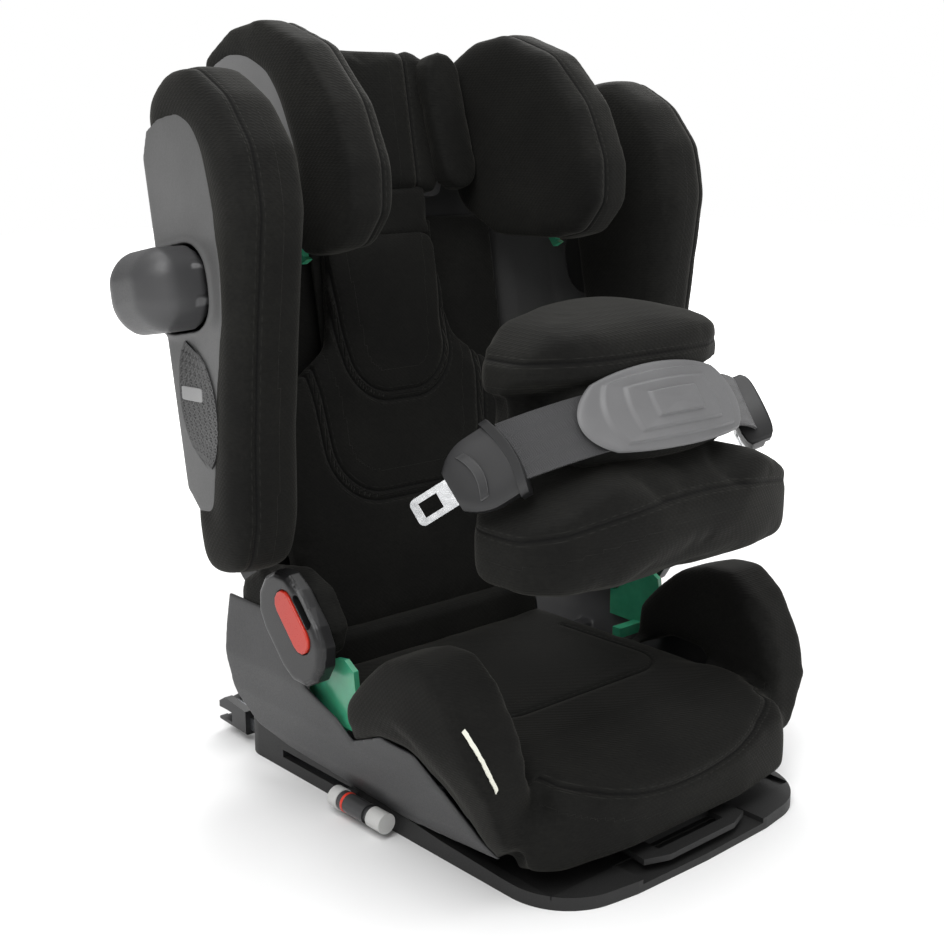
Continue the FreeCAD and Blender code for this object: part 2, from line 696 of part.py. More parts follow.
def build_back_shell():
    """Hollow back with hinge lugs, a channel for the headrest and slots for the wing arms."""
    body = new_body("back_shell")
    half = S["back_half"]
    top = S["back_top"]
    slab(body, "XZ", DECK, BACK,
         [(-half + 40.0, 24.0), (half - 40.0, 24.0), (half, 90.0), (half, top - 120.0),
          (half - 50.0, top - 20.0), (half - 90.0, top), (-half + 90.0, top),
          (-half + 50.0, top - 20.0), (-half, top - 120.0), (-half, 90.0)])
    round_edges(body, 24.0, along(Y_AXIS))
    channel = S["tube_out"] + 25.0
    pocket(body, "XZ", DECK - 1.0, DECK + 15.0, box_outline((-channel, 235.0), (channel, top + 5.0)))
    for side in (-1.0, 1.0):
        low, high = side_span(side, 58.0, half + 5.0)
        pocket(body, "XZ", DECK + 17.0, DECK + 24.0,
               box_outline((low, ARM_LOW - 2.0), (high, ARM_HIGH + 2.0)))
        low, high = side_span(side, EAR_OUT + 2.0, EAR_OUT + 13.0)
        slab(body, "YZ", low, high,
             [(-11.0, -5.0), (-6.0, -11.0), (6.0, -11.0), (BACK, 26.0), (BACK, 64.0), (DECK + 1.0, 64.0),
              (DECK + 1.0, 30.0), (7.0, 13.0), (-6.0, 11.0), (-11.0, 5.0)])
        low, high = side_span(side, EAR_IN - 3.0, EAR_OUT + 3.0)
        slab(body, "YZ", low, high, ((0.0, 0.0), S["stud_round"]))
    lean_back(body)


def build_back_pad():
    """Padded front of the backrest."""
    body = new_body("back_pad")
    slab(body, "XZ", -S["pad_front"], 1.0,
         [(-118.0, 15.0), (118.0, 15.0), (146.0, 60.0), (151.0, 236.0), (78.0, 290.0), (64.0, 392.0),
          (-64.0, 392.0), (-78.0, 290.0), (-151.0, 236.0), (-146.0, 60.0)])
    round_edges(body, 20.0, along(Y_AXIS))
    round_edges(body, 5.0, at_place(Y_AXIS, -S["pad_front"]))
    lean_back(body)


def build_guide_tube(body):
    slab(body, "XY", 236.0, S["back_top"] + 10.0, ((-S["tube_out"], DECK + 7.5), S["tube_round"]))


WING_OUT = HALF + S["wing_outer"]
WING_IN = WING_OUT - S["wing_thick"]
WING_REAR = -58.0
GUARD_Y = -86.0
GUARD_Z = 344.0


def guard_outline(grow):
    """Side outline of the side protector, grown all round."""
    return round_box((GUARD_Y, GUARD_Z), S["guard_long"] * 0.5 + grow, S["guard_tall"] * 0.5 + grow,
                     26.0 + grow)


def wing_panel(shift):
    """Side outline of the grey panel of a shoulder wing, grown by a shift."""
    top = S["wing_top"]
    low = S["wing_low"]
    rear = WING_REAR + 3.0 + shift
    return [(rear - 14.0, low + 56.0 - shift), (rear, low + 74.0), (rear, top - 60.0),
            (rear - 10.0, top - 42.0 + shift), (rear - 30.0, top - 36.0 + shift),
            (-116.0, top - 36.0 + shift), (-134.0 - shift, top - 48.0 + shift),
            (-145.0 - shift, top - 70.0), (-149.0 - shift, top - 110.0), (-148.0 - shift, low + 246.0),
            (-140.0 - shift, low + 200.0), (-108.0 - shift, low + 112.0),
            (-93.0 - shift, low + 50.0 - shift)]


def build_wing_shell(body):
    """Moulded outer side of a wing; it turns in behind and ends in an arm in the back shell."""
    wall = S["wing_wall"]
    slab(body, "YZ", -WING_OUT, -WING_OUT + wall, wing_panel(0.0))
    # the rear return, bent inwards towards the back shell
    turn = WING_REAR + 2.0
    arm_end = -S["back_half"] - 3.0
    slab(body, "XY", S["wing_low"] + 74.0, S["wing_top"] - 60.0,
         [(-WING_OUT, turn), (-WING_OUT + 10.0, turn + 18.0), (-WING_OUT + 40.0, turn + 50.0),
          (-WING_OUT + 72.0, DECK), (arm_end, DECK + 23.0), (arm_end, DECK + 18.0),
          (-WING_OUT + 74.0, DECK - 4.0), (-WING_OUT + 43.0, turn + 47.0), (-WING_OUT + 13.0, turn + 16.0),
          (-WING_OUT + wall, turn)])
    slab(body, "XZ", DECK + 18.0, DECK + 23.0,
         box_outline((-S["back_half"] - 6.0, ARM_LOW), (-62.0, ARM_HIGH)))
    # cup for the side protector, with a raised rim
    slab(body, "YZ", -WING_OUT - 2.5, -WING_IN - 6.0, guard_outline(4.0))
    pocket(body, "YZ", -WING_OUT - 5.0, -WING_IN - 8.5, guard_outline(S["run_gap"]))


def build_wing_cover(body):
    """Padded cover of a shoulder wing: it wraps its front, its top and its inner side."""
    top = S["wing_top"]
    low = S["wing_low"]
    slab(body, "YZ", -WING_OUT, -WING_IN,
         [(WING_REAR + 1.0, low), (WING_REAR + 1.0, top - 56.0), (WING_REAR - 8.0, top - 18.0),
          (-96.0, top - 2.0),
          (-130.0, top - 4.0), (-168.0, top - 34.0), (-192.0, top - 76.0), (-194.0, top - 122.0),
          (-166.0, low + 186.0), (-144.0, low + 106.0), (-130.0, low + 40.0), (-112.0, low + 4.0)])
    round_edges(body, 22.0, along(X_AXIS))
    round_edges(body, 15.0, at_place(X_AXIS, -WING_IN))
    round_edges(body, 12.0, at_place(X_AXIS, -WING_OUT))
    gap = S["soft_gap"]
    pocket(body, "YZ", -WING_OUT - 1.0, -WING_OUT + S["wing_wall"] + gap, wing_panel(0.8))
    pocket(body, "YZ", -WING_OUT - 5.0, -WING_IN - 6.0 + gap, guard_outline(4.0 + gap))


def build_side_guard(body):
    """Side impact protector: a rounded dome that pushes into the wing."""
    outer = WING_OUT + S["guard_out"]
    slab(body, "YZ", -outer, -WING_OUT + 3.0,
         box_outline((GUARD_Y - S["guard_long"] * 0.5, GUARD_Z - S["guard_tall"] * 0.5),
                     (GUARD_Y + S["guard_long"] * 0.5, GUARD_Z + S["guard_tall"] * 0.5)))
    round_edges(body, 26.0, along(X_AXIS))
    round_edges(body, 22.0, at_place(X_AXIS, -outer))


build_back_shell()
build_back_pad()
pair_of(build_guide_tube, "guide_tube", leaned=True)
pair_of(build_wing_shell, "wing_shell", leaned=True)
pair_of(build_wing_cover, "wing_cover", leaned=True)
pair_of(build_side_guard, "side_guard", leaned=True)

# ---------------------------------------------------------------- headrest

HEAD_IN = S["head_half"] - 46.0
HEAD_PIVOT_Y = 9.0
HEAD_PIVOT_Z = 408.0


def build_head_carriage():
    """Slider in the back channel, on the two guide tubes, with lugs for the headrest."""
    body = new_body("head_carriage")
    half = S["tube_out"] + 23.0
    slab(body, "XZ", DECK + 1.0, DECK + 14.0, box_outline((-half, 300.0), (half, S["head_top"] - 14.0)))
    round_edges(body, 8.0, along(Y_AXIS))
    for side in (-1.0, 1.0):
        pocket(body, "XY", 299.0, S["head_top"],
               ((side * S["tube_out"], DECK + 7.5), S["tube_round"] + S["stud_gap"]))
        low, high = side_span(side, 22.0, 30.0)
        slab(body, "YZ", low, high,
             box_outline((3.0, HEAD_PIVOT_Z - 7.0), (DECK + 2.0, HEAD_PIVOT_Z + 7.0)))
    slab(body, "YZ", -36.0, 36.0, ((HEAD_PIVOT_Y, HEAD_PIVOT_Z), 3.5))
    # window for the adjuster
    pocket(body, "XZ", DECK, DECK + 16.0,
           box_outline((-30.0, S["head_top"] - 54.0), (30.0, S["head_top"] - 30.0)))
    lean_back(body)


def build_head_adjuster():
    """Squeeze handle at the top of the headrest that frees the height lock."""
    body = new_body("head_adjuster")
    top = S["head_top"]
    slab(body, "XZ", DECK + 3.0, DECK + 11.0, box_outline((-28.0, top - 52.0), (28.0, top - 42.0)))
    slab(body, "XZ", DECK + 15.0, DECK + 25.0,
         box_outline((-34.0, top - 54.0), (34.0, top - 30.0)))
    slab(body, "XZ", DECK + 10.0, DECK + 16.0, box_outline((-20.0, top - 51.0), (20.0, top - 44.0)))
    lean_back(body)


def build_head_bib():
    """Thin flap below the headrest; it keeps the gap covered when the headrest is raised."""
    body = new_body("head_bib")
    slab(body, "XZ", 2.6, 6.0, box_outline((-74.0, 236.0), (74.0, HEAD_PIVOT_Z - 10.0)))
    slab(body, "XZ", 5.0, DECK + 1.0, box_outline((-40.0, HEAD_PIVOT_Z - 34.0), (40.0, HEAD_PIVOT_Z - 24.0)))
    lean_back(body)


def build_head_shell():
    """Rigid centre of the headrest with hinge lugs over the carriage's rod."""
    body = new_body("head_shell")
    top = S["head_top"]
    slab(body, "XZ", 6.5, DECK - 2.0,
         [(-92.0, HEAD_PIVOT_Z + 12.0), (92.0, HEAD_PIVOT_Z + 12.0), (HEAD_IN, 470.0), (HEAD_IN, top - 16.0),
          (70.0, top - 4.0), (-70.0, top - 4.0), (-HEAD_IN, top - 16.0), (-HEAD_IN, 470.0)])
    round_edges(body, 10.0, along(Y_AXIS))
    for side in (-1.0, 1.0):
        low, high = side_span(side, 31.0, 38.0)
        slab(body, "YZ", low, high,
             [(3.0, HEAD_PIVOT_Z - 6.5), (DECK - 2.5, HEAD_PIVOT_Z - 6.5), (DECK - 2.5, HEAD_PIVOT_Z + 14.0),
              (6.5, HEAD_PIVOT_Z + 14.0), (6.5, HEAD_PIVOT_Z + 11.0), (3.0, HEAD_PIVOT_Z + 11.0)])
        pocket(body, "YZ", low - 1.0, high + 1.0,
               ((HEAD_PIVOT_Y, HEAD_PIVOT_Z), 3.5 + S["stud_gap"]))
    lean_back(body)


def build_head_pad():
    """Padded centre of the headrest."""
    body = new_body("head_pad")
    top = S["head_top"]
    slab(body, "XZ", -12.0, 5.6,
         [(-78.0, HEAD_PIVOT_Z + 12.0), (78.0, HEAD_PIVOT_Z + 12.0), (100.0, 470.0), (100.0, top - 20.0),
          (66.0, top - 2.0), (-66.0, top - 2.0), (-100.0, top - 20.0), (-100.0, 470.0)])
    round_edges(body, 10.0, along(Y_AXIS))
    round_edges(body, 5.0, at_place(Y_AXIS, -12.0))
    lean_back(body)


def head_side(shift):
    """Side outline of a headrest wing, drawn in by a shift."""
    top = S["head_top"]
    return [(12.0 - shift, top - 60.0), (8.0 - shift, top - 16.0 - shift), (-40.0, top - shift),
            (-84.0, top - 2.0 - shift), (-138.0 + shift, top - 32.0), (-174.0 + shift, top - 84.0),
            (-188.0 + shift, top - 136.0), (-182.0 + shift, top - 174.0 + shift),
            (-154.0, top - 198.0 + shift), (-100.0 - shift, top - 200.0 + shift),
            (-98.0 - shift, top - 130.0), (-40.0 - shift, top - 82.0 + shift)]


def head_panel(shift):
    """Side outline of the moulded panel in a headrest wing, drawn in by a shift."""
    top = S["head_top"]
    return [(-4.0 - shift, top - 58.0), (-8.0 - shift, top - 24.0 - shift), (-36.0, top - 18.0 - shift),
            (-64.0 + shift, top - 26.0 - shift), (-90.0 + shift, top - 44.0), (-106.0 + shift, top - 72.0),
            (-116.0 + shift, top - 110.0), (-118.0 + shift, top - 136.0), (-104.0, top - 152.0 + shift),
            (-88.0 - shift, top - 130.0), (-40.0 - shift, top - 92.0 + shift)]


def build_head_side_shell(body):
    """Moulded outer side of a headrest wing, joined to the centre shell by a rib."""
    outer = S["head_half"] - 1.0
    slab(body, "YZ", -outer, -outer + 4.0, head_panel(0.6))
    high = S["head_top"] - 30.0
    slab(body, "XZ", -6.0, DECK - 3.0, box_outline((-outer, high - 40.0), (-outer + 4.0, high)))
    slab(body, "XZ", 7.0, DECK - 3.0, box_outline((-outer, high - 40.0), (-HEAD_IN - 0.5, high)))


def build_head_wing(body):
    """Padded side of the headrest."""
    outer = S["head_half"]
    top = S["head_top"]
    slab(body, "YZ", -outer, -outer + 44.0, head_side(0.0))
    round_edges(body, 14.0, along(X_AXIS))
    round_edges(body, 10.0, at_place(X_AXIS, -outer + 44.0))
    # the inner side reaches further back and down than the outer, past the belt hook
    slab(body, "YZ", -outer + 24.0, -outer + 43.0,
         [(-112.0, top - 199.0), (-112.0, top - 90.0), (-40.0, top - 60.0), (10.0, top - 50.0),
          (10.0, top - 140.0), (0.0, top - 156.0), (-44.0, top - 188.0)])
    pocket(body, "YZ", -outer - 1.0, -outer + 5.0 + S["soft_gap"], head_panel(-0.4))
    high = S["head_top"] - 29.0
    pocket(body, "XZ", 6.0, 20.0, box_outline((-outer - 1.0, high - 42.0), (-outer + 46.0, high)))
    pocket(body, "XZ", -7.0, 7.0,
           box_outline((-outer - 1.0, high - 42.0), (-outer + 5.0 + S["soft_gap"], high)))


def build_ear_pad(body):
    """Small padded cheek between the centre and a wing of the headrest."""
    slab(body, "XZ", -34.0, -13.0, pill((-86.5, S["head_top"] - 74.0), 21.0, 44.0, 84.0))
    round_edges(body, 6.0, at_place(Y_AXIS, -34.0))


def build_belt_hook(body):
    """Coloured shoulder belt hook below a headrest wing."""
    outer = S["head_half"] - 8.0
    low = S["head_top"] - 214.0
    slab(body, "YZ", -outer, -outer + 6.0,
         [(-101.0, low + 13.0), (-92.0, low + 10.0), (-78.0, low + 34.0), (-88.0, low + 44.0),
          (-94.0, low + 40.0), (-96.0, low + 16.0)])
    slab(body, "YZ", -outer, -outer + 14.0, box_outline((-86.0, low + 30.0), (-78.0, low + 43.0)))


build_head_carriage()
build_head_adjuster()
build_head_bib()
build_head_shell()
build_head_pad()
pair_of(build_head_side_shell, "head_side_shell", leaned=True)
pair_of(build_head_wing, "head_wing", leaned=True)
pair_of(build_ear_pad, "ear_pad", leaned=True)
pair_of(build_belt_hook, "belt_hook", leaned=True)

# ---------------------------------------------------------------- impact shield

SHIELD_LOW = S["shield_low"]
LOBE_TALL = 86.0


def build_shield_lower():
    """Lower lobe of the shield cushion, bowed forward and falling away at its ends."""
    body = new_body("shield_lower")
    half = S["shield_half"]
    high = SHIELD_LOW + LOBE_TALL
    slab(body, "XY", SHIELD_LOW, high,
         [(-half, -132.0), (-half, -185.0), (-half + 24.0, -211.0), (-80.0, -223.0), (80.0, -223.0),
          (half - 24.0, -211.0), (half, -185.0), (half, -132.0), (118.0, -104.0), (-118.0, -104.0)])
    round_edges(body, 18.0, along(Z_AXIS))
    round_edges(body, 14.0, at_place(Z_AXIS, high))
    round_edges(body, 14.0, at_place(Z_AXIS, SHIELD_LOW))
    for side in (-1.0, 1.0):
        pocket(body, "XZ", -240.0, -90.0,
               [(side * (half + 5.0), SHIELD_LOW + 50.0), (side * 84.0, high + 1.0),
                (side * 84.0, high + 20.0), (side * (half + 5.0), high + 20.0)])


def build_shield_core():
    """Stiff waist of the shield; the belt runs across its front."""
    body = new_body("shield_core")
    low = SHIELD_LOW + LOBE_TALL + S["soft_gap"]
    high = SHIELD_LOW + 139.2
    slab(body, "YZ", -84.0, 84.0,
         [(-100.0, low), (-200.0, low), (-205.0, low + 14.0), (-180.0, high), (-100.0, high)])
    slab(body, "XY", low, high,
         [(-112.0, -134.0), (-98.0, -146.0), (98.0, -146.0), (112.0, -134.0),
          (104.0, -98.0), (-104.0, -98.0)])
    round_edges(body, 5.0, along(X_AXIS))


def build_shield_upper():
    """Upper lobe of the shield cushion."""
    body = new_body("shield_upper")
    low = SHIELD_LOW + 140.0
    half = 120.0
    high = low + 62.0
    slab(body, "XY", low, high,
         [(-half, -98.0), (-half, -140.0), (-84.0, -160.0), (-40.0, -168.0), (40.0, -168.0),
          (84.0, -160.0), (half, -140.0), (half, -98.0), (84.0, -84.0), (-84.0, -84.0)])
    round_edges(body, 16.0, along(Z_AXIS))
    # the top falls away to both ends and to the front
    for side in (-1.0, 1.0):
        pocket(body, "XZ", -180.0, -70.0,
               [(side * (half + 4.0), low + 20.0), (side * 112.0, low + 34.0), (side * 84.0, low + 50.0),
                (side * 46.0, low + 59.0), (side * 14.0, high + 1.0), (side * (half + 4.0), high + 1.0)])
    pocket(body, "YZ", -half - 5.0, half + 5.0,
           [(-175.0, low + 24.0), (-160.0, low + 40.0), (-140.0, low + 53.0), (-112.0, high + 1.0),
            (-175.0, high + 1.0)])


BELT_TILT = -34.0
BELT_Y = -193.4
BELT_RISE = 130.3
STRAP_TURN = (-140.0, 44.0)
TONGUE_ANGLE = -50.0


def tilt_to_belt(item):
    """Lay a part drawn flat against the sloping front of the shield."""
    item.Placement = FreeCAD.Placement(VEC(0, BELT_Y, now(SHIELD_LOW + BELT_RISE)),
                                       FreeCAD.Rotation(X_AXIS, BELT_TILT))
    bind(item, "Placement.Base.z", SHIELD_LOW + BELT_RISE)


def hang_from_belt(item):
    """Put a part drawn along -X at the end of the belt, turned back and a little down."""
    tilt = FreeCAD.Rotation(X_AXIS, BELT_TILT)
    end = tilt.multVec(VEC(STRAP_TURN[0], STRAP_TURN[1], -3.0))
    turn = FreeCAD.Rotation(Z_AXIS, TONGUE_ANGLE).multiply(FreeCAD.Rotation(Y_AXIS, -8.0))
    item.Placement = FreeCAD.Placement(VEC(end.x, BELT_Y + end.y, now(SHIELD_LOW + BELT_RISE) + end.z),
                                       tilt.multiply(turn))
    bind(item, "Placement.Base.z", SHIELD_LOW + (BELT_RISE + end.z))


def build_shield_panel():
    """Ridged rubber panel that grips the belt, curved over its stepped contours."""
    body = new_body("shield_panel")
    half = S["panel_half"]
    for step in range(4):
        inset = step * 12.0
        slab(body, "XZ", -2.6 - step * 1.6, 2.0 - step * 1.6,
             [(-half + inset, -18.0 + inset * 0.3), (-half + 16.0 + inset, -34.0 + inset * 0.5),
              (half - 16.0 - inset, -34.0 + inset * 0.5), (half - inset, -18.0 + inset * 0.3),
              (half - inset, 14.0 - inset * 0.3), (half - 22.0 - inset, 34.0 - inset * 0.5),
              (-half + 22.0 + inset, 34.0 - inset * 0.5), (-half + inset, 14.0 - inset * 0.3)])
    tilt_to_belt(body)


def build_belt_webbing():
    """The shield's own belt: behind the panel, then back round each side to its tongue."""
    body = new_body("belt_webbing")
    half = S["strap_wide"] * 0.5
    thick = S["strap_thick"]
    end = STRAP_TURN
    front = [(-84.0, 2.2), (-106.0, 12.0), (end[0], end[1])]
    back = [(end[0] + 1.4, end[1] + thick), (-105.0, 12.6 + thick), (-83.4, 2.2 + thick)]
    slab(body, "XY", -half, half,
         [*front, *back, *[(-x, y) for x, y in reversed(back)], *[(-x, y) for x, y in reversed(front)]])
    tilt_to_belt(body)


def build_tongue_housing(body):
    """Moulded grip between the belt and its steel tongue."""
    half = S["strap_wide"] * 0.5
    slab(body, "XZ", -6.0, 9.0,
         [(-2.8, -half - 2.0), (-2.8, half + 2.0), (-24.0, half + 3.0), (-42.0, half - 8.0),
          (-42.0, -half + 8.0), (-24.0, -half - 3.0)])
    round_edges(body, 5.0, along(Y_AXIS))
    round_edges(body, 4.0, at_place(Y_AXIS, -6.0))
    hang_from_belt(body)


def build_tongue(body):
    """Steel tongue with its latch window."""
    slab(body, "XZ", 0.5, 3.0, box_outline((-82.0, -11.0), (-42.3, 11.0)))
    round_edges(body, 5.0, lambda e: along(Y_AXIS)(e) and e.BoundBox.XMin < -78)
    pocket(body, "XZ", 0.0, 4.0, box_outline((-76.0, -6.0), (-60.0, 6.0)))
    hang_from_belt(body)


build_shield_lower()
build_shield_core()
build_shield_upper()
build_shield_panel()
build_belt_webbing()
pair_of(build_tongue_housing, "tongue_housing")
pair_of(build_tongue, "tongue")

# ---------------------------------------------------------------- check and write

DOC.recompute()


def check_document():
    for item in DOC.Objects:
        if "Invalid" in item.State or "Error" in item.State:
            raise RuntimeError(f"{item.Label}: {item.State}")
    for part in PARTS:
        if part.Shape.isNull() or not part.Shape.isValid():
            raise RuntimeError(f"{part.Label}: bad shape")
        if len(part.Shape.Solids) != 1:
            raise RuntimeError(f"{part.Label}: {len(part.Shape.Solids)} solids")


check_document()
os.makedirs("parts", exist_ok=True)
for part in PARTS:
    part.Shape.exportStep(f"parts/{part.Label}.step")
print(len(PARTS), "parts written")
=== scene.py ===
import json
import math

import bpy
import numpy as np
from mathutils import Matrix, Vector


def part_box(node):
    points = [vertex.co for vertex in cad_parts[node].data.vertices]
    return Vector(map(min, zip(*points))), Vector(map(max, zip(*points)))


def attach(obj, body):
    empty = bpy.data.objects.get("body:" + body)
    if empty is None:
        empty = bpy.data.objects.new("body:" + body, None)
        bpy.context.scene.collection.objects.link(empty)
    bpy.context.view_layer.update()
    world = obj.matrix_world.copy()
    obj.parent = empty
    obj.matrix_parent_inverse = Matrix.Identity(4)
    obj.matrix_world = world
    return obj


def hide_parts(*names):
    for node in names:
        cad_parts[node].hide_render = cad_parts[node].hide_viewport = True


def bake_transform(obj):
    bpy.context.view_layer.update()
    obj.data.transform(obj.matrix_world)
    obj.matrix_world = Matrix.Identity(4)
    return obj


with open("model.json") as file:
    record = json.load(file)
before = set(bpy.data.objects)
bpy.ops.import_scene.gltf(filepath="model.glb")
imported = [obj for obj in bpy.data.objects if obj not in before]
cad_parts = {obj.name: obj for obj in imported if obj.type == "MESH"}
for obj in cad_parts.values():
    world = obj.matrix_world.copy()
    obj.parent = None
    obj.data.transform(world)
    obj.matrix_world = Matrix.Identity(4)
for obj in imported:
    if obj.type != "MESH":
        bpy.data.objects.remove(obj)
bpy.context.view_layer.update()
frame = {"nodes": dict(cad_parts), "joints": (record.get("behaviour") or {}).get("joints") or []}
nodes = frame["nodes"]

# ------------------------------------------------------------------ base tray and its rubber mat
# The tray is one injection moulding in black glass-filled polypropylene, with a spark-eroded grain.
# A rubber mat is pressed into its underside and two bent steel rails are screwed inside.


def linear(colour):
    """A six-digit sRGB hex colour as a linear RGBA tuple."""
    parts = [int(colour[i:i + 2], 16) / 255 for i in (1, 3, 5)]
    return tuple(p / 12.92 if p <= 0.04045 else ((p + 0.055) / 1.055) ** 2.4 for p in parts) + (1.0,)


def add_node(material, kind, inputs=None, **settings):
    """Adds a shader node; an input is a plain value or another node's output."""
    node = material.node_tree.nodes.new("ShaderNode" + kind)
    for name, value in settings.items():
        setattr(node, name, value)
    for name, value in (inputs or {}).items():
        if isinstance(value, bpy.types.NodeSocket):
            material.node_tree.links.new(value, node.inputs[name])
        else:
            node.inputs[name].default_value = value
    return node


def new_material(name, **finish):
    """An empty surface, with the finish that is the same all over; gives its shader and position socket."""
    material = bpy.data.materials.new(name)
    material.use_nodes = True
    surface = material.node_tree.nodes["Principled BSDF"]
    for key, value in finish.items():
        surface.inputs[key.replace("_", " ")].default_value = value
    return material, surface, add_node(material, "TexCoord").outputs["Object"]


def join_up(material, output, socket):
    material.node_tree.links.new(output, socket)


def moulded(name, colour, worn, roughness, grain_mm, depth_mm):
    """Injection-moulded plastic: an eroded grain, a faint drift of tone and a slightly uneven gloss."""
    material, surface, place = new_material(name, IOR=1.49)
    grain = add_node(material, "TexNoise", {"Vector": place, "Scale": 1000 / grain_mm, "Detail": 2.0})
    drift = add_node(material, "TexNoise", {"Vector": place, "Scale": 11.0, "Detail": 3.0})
    tone = add_node(material, "ValToRGB", {"Fac": drift.outputs["Fac"]})
    tone.color_ramp.elements[0].color = linear(colour)
    tone.color_ramp.elements[0].position = 0.38
    tone.color_ramp.elements[1].color = linear(worn)
    tone.color_ramp.elements[1].position = 0.68
    gloss = add_node(material, "MapRange", {"Value": grain.outputs["Fac"], "From Min": 0.3, "From Max": 0.7,
                                            "To Min": roughness - 0.05, "To Max": roughness + 0.07})
    bump = add_node(material, "Bump", {"Height": grain.outputs["Fac"], "Strength": 0.5,
                                       "Distance": depth_mm / 1000})
    join_up(material, tone.outputs["Color"], surface.inputs["Base Color"])
    join_up(material, gloss.outputs["Result"], surface.inputs["Roughness"])
    join_up(material, bump.outputs["Normal"], surface.inputs["Normal"])
    return material


def paint(material, *names):
    """Gives CAD nodes their finish."""
    for name in names:
        mesh = nodes[name].data
        mesh.materials.clear()
        mesh.materials.append(material)


def both(name):
    return [name + "_left", name + "_right"]


# spark-eroded black polypropylene: matt, with a fine sparkle in its grain
tray_plastic = moulded("glass_filled_polypropylene", "#151515", "#1c1c1c", 0.56, 1.1, 0.14)
paint(tray_plastic, "base_tray", "recline_handle")

# moulded rubber: duller than the tray, with a coarse woven print that grips the car seat
rubber, rubber_surface, rubber_place = new_material("moulded_nitrile_rubber", IOR=1.52, Roughness=0.85)
ribs = add_node(rubber, "TexWave", {"Vector": rubber_place, "Scale": 60.0, "Distortion": 0.0},
                bands_direction="Y")
rubber_bump = add_node(rubber, "Bump", {"Height": ribs.outputs["Fac"], "Strength": 0.6, "Distance": 0.0006})
rubber_tone = add_node(rubber, "ValToRGB", {"Fac": ribs.outputs["Fac"]})
rubber_tone.color_ramp.elements[0].color = linear("#141414")
rubber_tone.color_ramp.elements[1].color = linear("#1e1e1e")
join_up(rubber, rubber_tone.outputs["Color"], rubber_surface.inputs["Base Color"])
join_up(rubber, rubber_bump.outputs["Normal"], rubber_surface.inputs["Normal"])
paint(rubber, "base_mat")

# ------------------------------------------------------------------ anchor frame, jaws and release knobs
# Two square steel bars slide out of the tray on a cross strip and end in plastic heads with steel jaws.
# A two-tone knob on each side carries a red ring that shows while the jaw is open.

# zinc-plated steel: a bluish bright metal with drawn streaks along the bar
zinc, zinc_surface, zinc_place = new_material("zinc_plated_steel", Metallic=1.0)
zinc_along = add_node(zinc, "Mapping", {"Vector": zinc_place, "Scale": (900.0, 30.0, 900.0)})
streaks = add_node(zinc, "TexNoise", {"Vector": zinc_along.outputs["Vector"], "Scale": 1.0, "Detail": 3.0})
zinc_tone = add_node(zinc, "ValToRGB", {"Fac": streaks.outputs["Fac"]})
zinc_tone.color_ramp.elements[0].color = linear("#8e9194")
zinc_tone.color_ramp.elements[1].color = linear("#b9bcc0")
zinc_gloss = add_node(zinc, "MapRange", {"Value": streaks.outputs["Fac"], "To Min": 0.26, "To Max": 0.44})
join_up(zinc, zinc_tone.outputs["Color"], zinc_surface.inputs["Base Color"])
join_up(zinc, zinc_gloss.outputs["Result"], zinc_surface.inputs["Roughness"])
paint(zinc, "anchor_frame", *both("anchor_jaw"), *both("recline_rail"), *both("guide_tube"))

# nylon heads: black, a little shinier than the tray
nylon = moulded("moulded_nylon", "#1c1c1d", "#262627", 0.4, 0.9, 0.08)
paint(nylon, *both("anchor_head"), "head_carriage", "head_adjuster")
knob_black = moulded("knob_abs", "#303031", "#39393a", 0.34, 0.9, 0.05)
paint(knob_black, *both("knob_sleeve"))
knob_pale = moulded("knob_cap_abs", "#b4b4b2", "#c4c4c2", 0.38, 0.9, 0.05)
paint(knob_pale, *both("knob_cap"))
signal_red = moulded("signal_red_abs", "#c9321f", "#d63c28", 0.32, 0.9, 0.04)


def clean_start():
    if bpy.context.object and bpy.context.object.mode != "OBJECT":
        bpy.ops.object.mode_set(mode="OBJECT")
    bpy.ops.object.select_all(action="DESELECT")


def made(name, material=None):
    """Names the piece just modelled, leaves its place in its mesh and gives it its finish."""
    piece = bpy.context.object
    if piece.mode != "OBJECT":
        bpy.ops.object.mode_set(mode="OBJECT")
    piece.name = name
    piece.data.name = name
    bpy.ops.object.transform_apply(location=True, rotation=True, scale=True)
    if material:
        piece.data.materials.clear()
        piece.data.materials.append(material)
    return piece


def twin(piece, name):
    """The right-hand copy of a left-hand piece, with a mesh of its own."""
    clean_start()
    other = piece.copy()
    other.data = piece.data.copy()
    other.name = other.data.name = name
    bpy.context.scene.collection.objects.link(other)
    other.data.transform(Matrix.Scale(-1.0, 4, (1.0, 0.0, 0.0)))
    other.data.flip_normals()
    return other


sleeve_low, sleeve_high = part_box("knob_sleeve_left")
knob_round = (sleeve_high.z - sleeve_low.z) / 2
knob_centre = Vector((sleeve_low.x + knob_round, 0, (sleeve_low.z + sleeve_high.z) / 2))


def knob_ring(name, middle, width, proud, material):
    """A band round the knob, with its edges eased."""
    clean_start()
    bpy.ops.mesh.primitive_cylinder_add(vertices=64, radius=knob_round + proud, depth=width,
                                        location=(knob_centre.x, middle, knob_centre.z),
                                        rotation=(math.pi / 2, 0, 0))
    bpy.ops.object.mode_set(mode="EDIT")
    bpy.ops.mesh.select_all(action="SELECT")
    bpy.ops.mesh.bevel(offset=0.0005, segments=3, affect="EDGES")
    piece = made(name, material)
    bpy.ops.object.shade_smooth_by_angle(angle=math.radians(35))
    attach(piece, "anchor_slide")
    return piece


# signal ring and pale collar, both sides
for finish, slot, part, middle, width, proud in (
        (signal_red, "red_plastic", "knob_signal", 0.0040, 0.0030, 0.0004),
        (knob_pale, "cap_plastic", "knob_collar", 0.0165, 0.0115, 0.0010)):
    left = knob_ring(part + "_left", middle, width, proud, finish)
    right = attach(twin(left, part + "_right"), "anchor_slide")

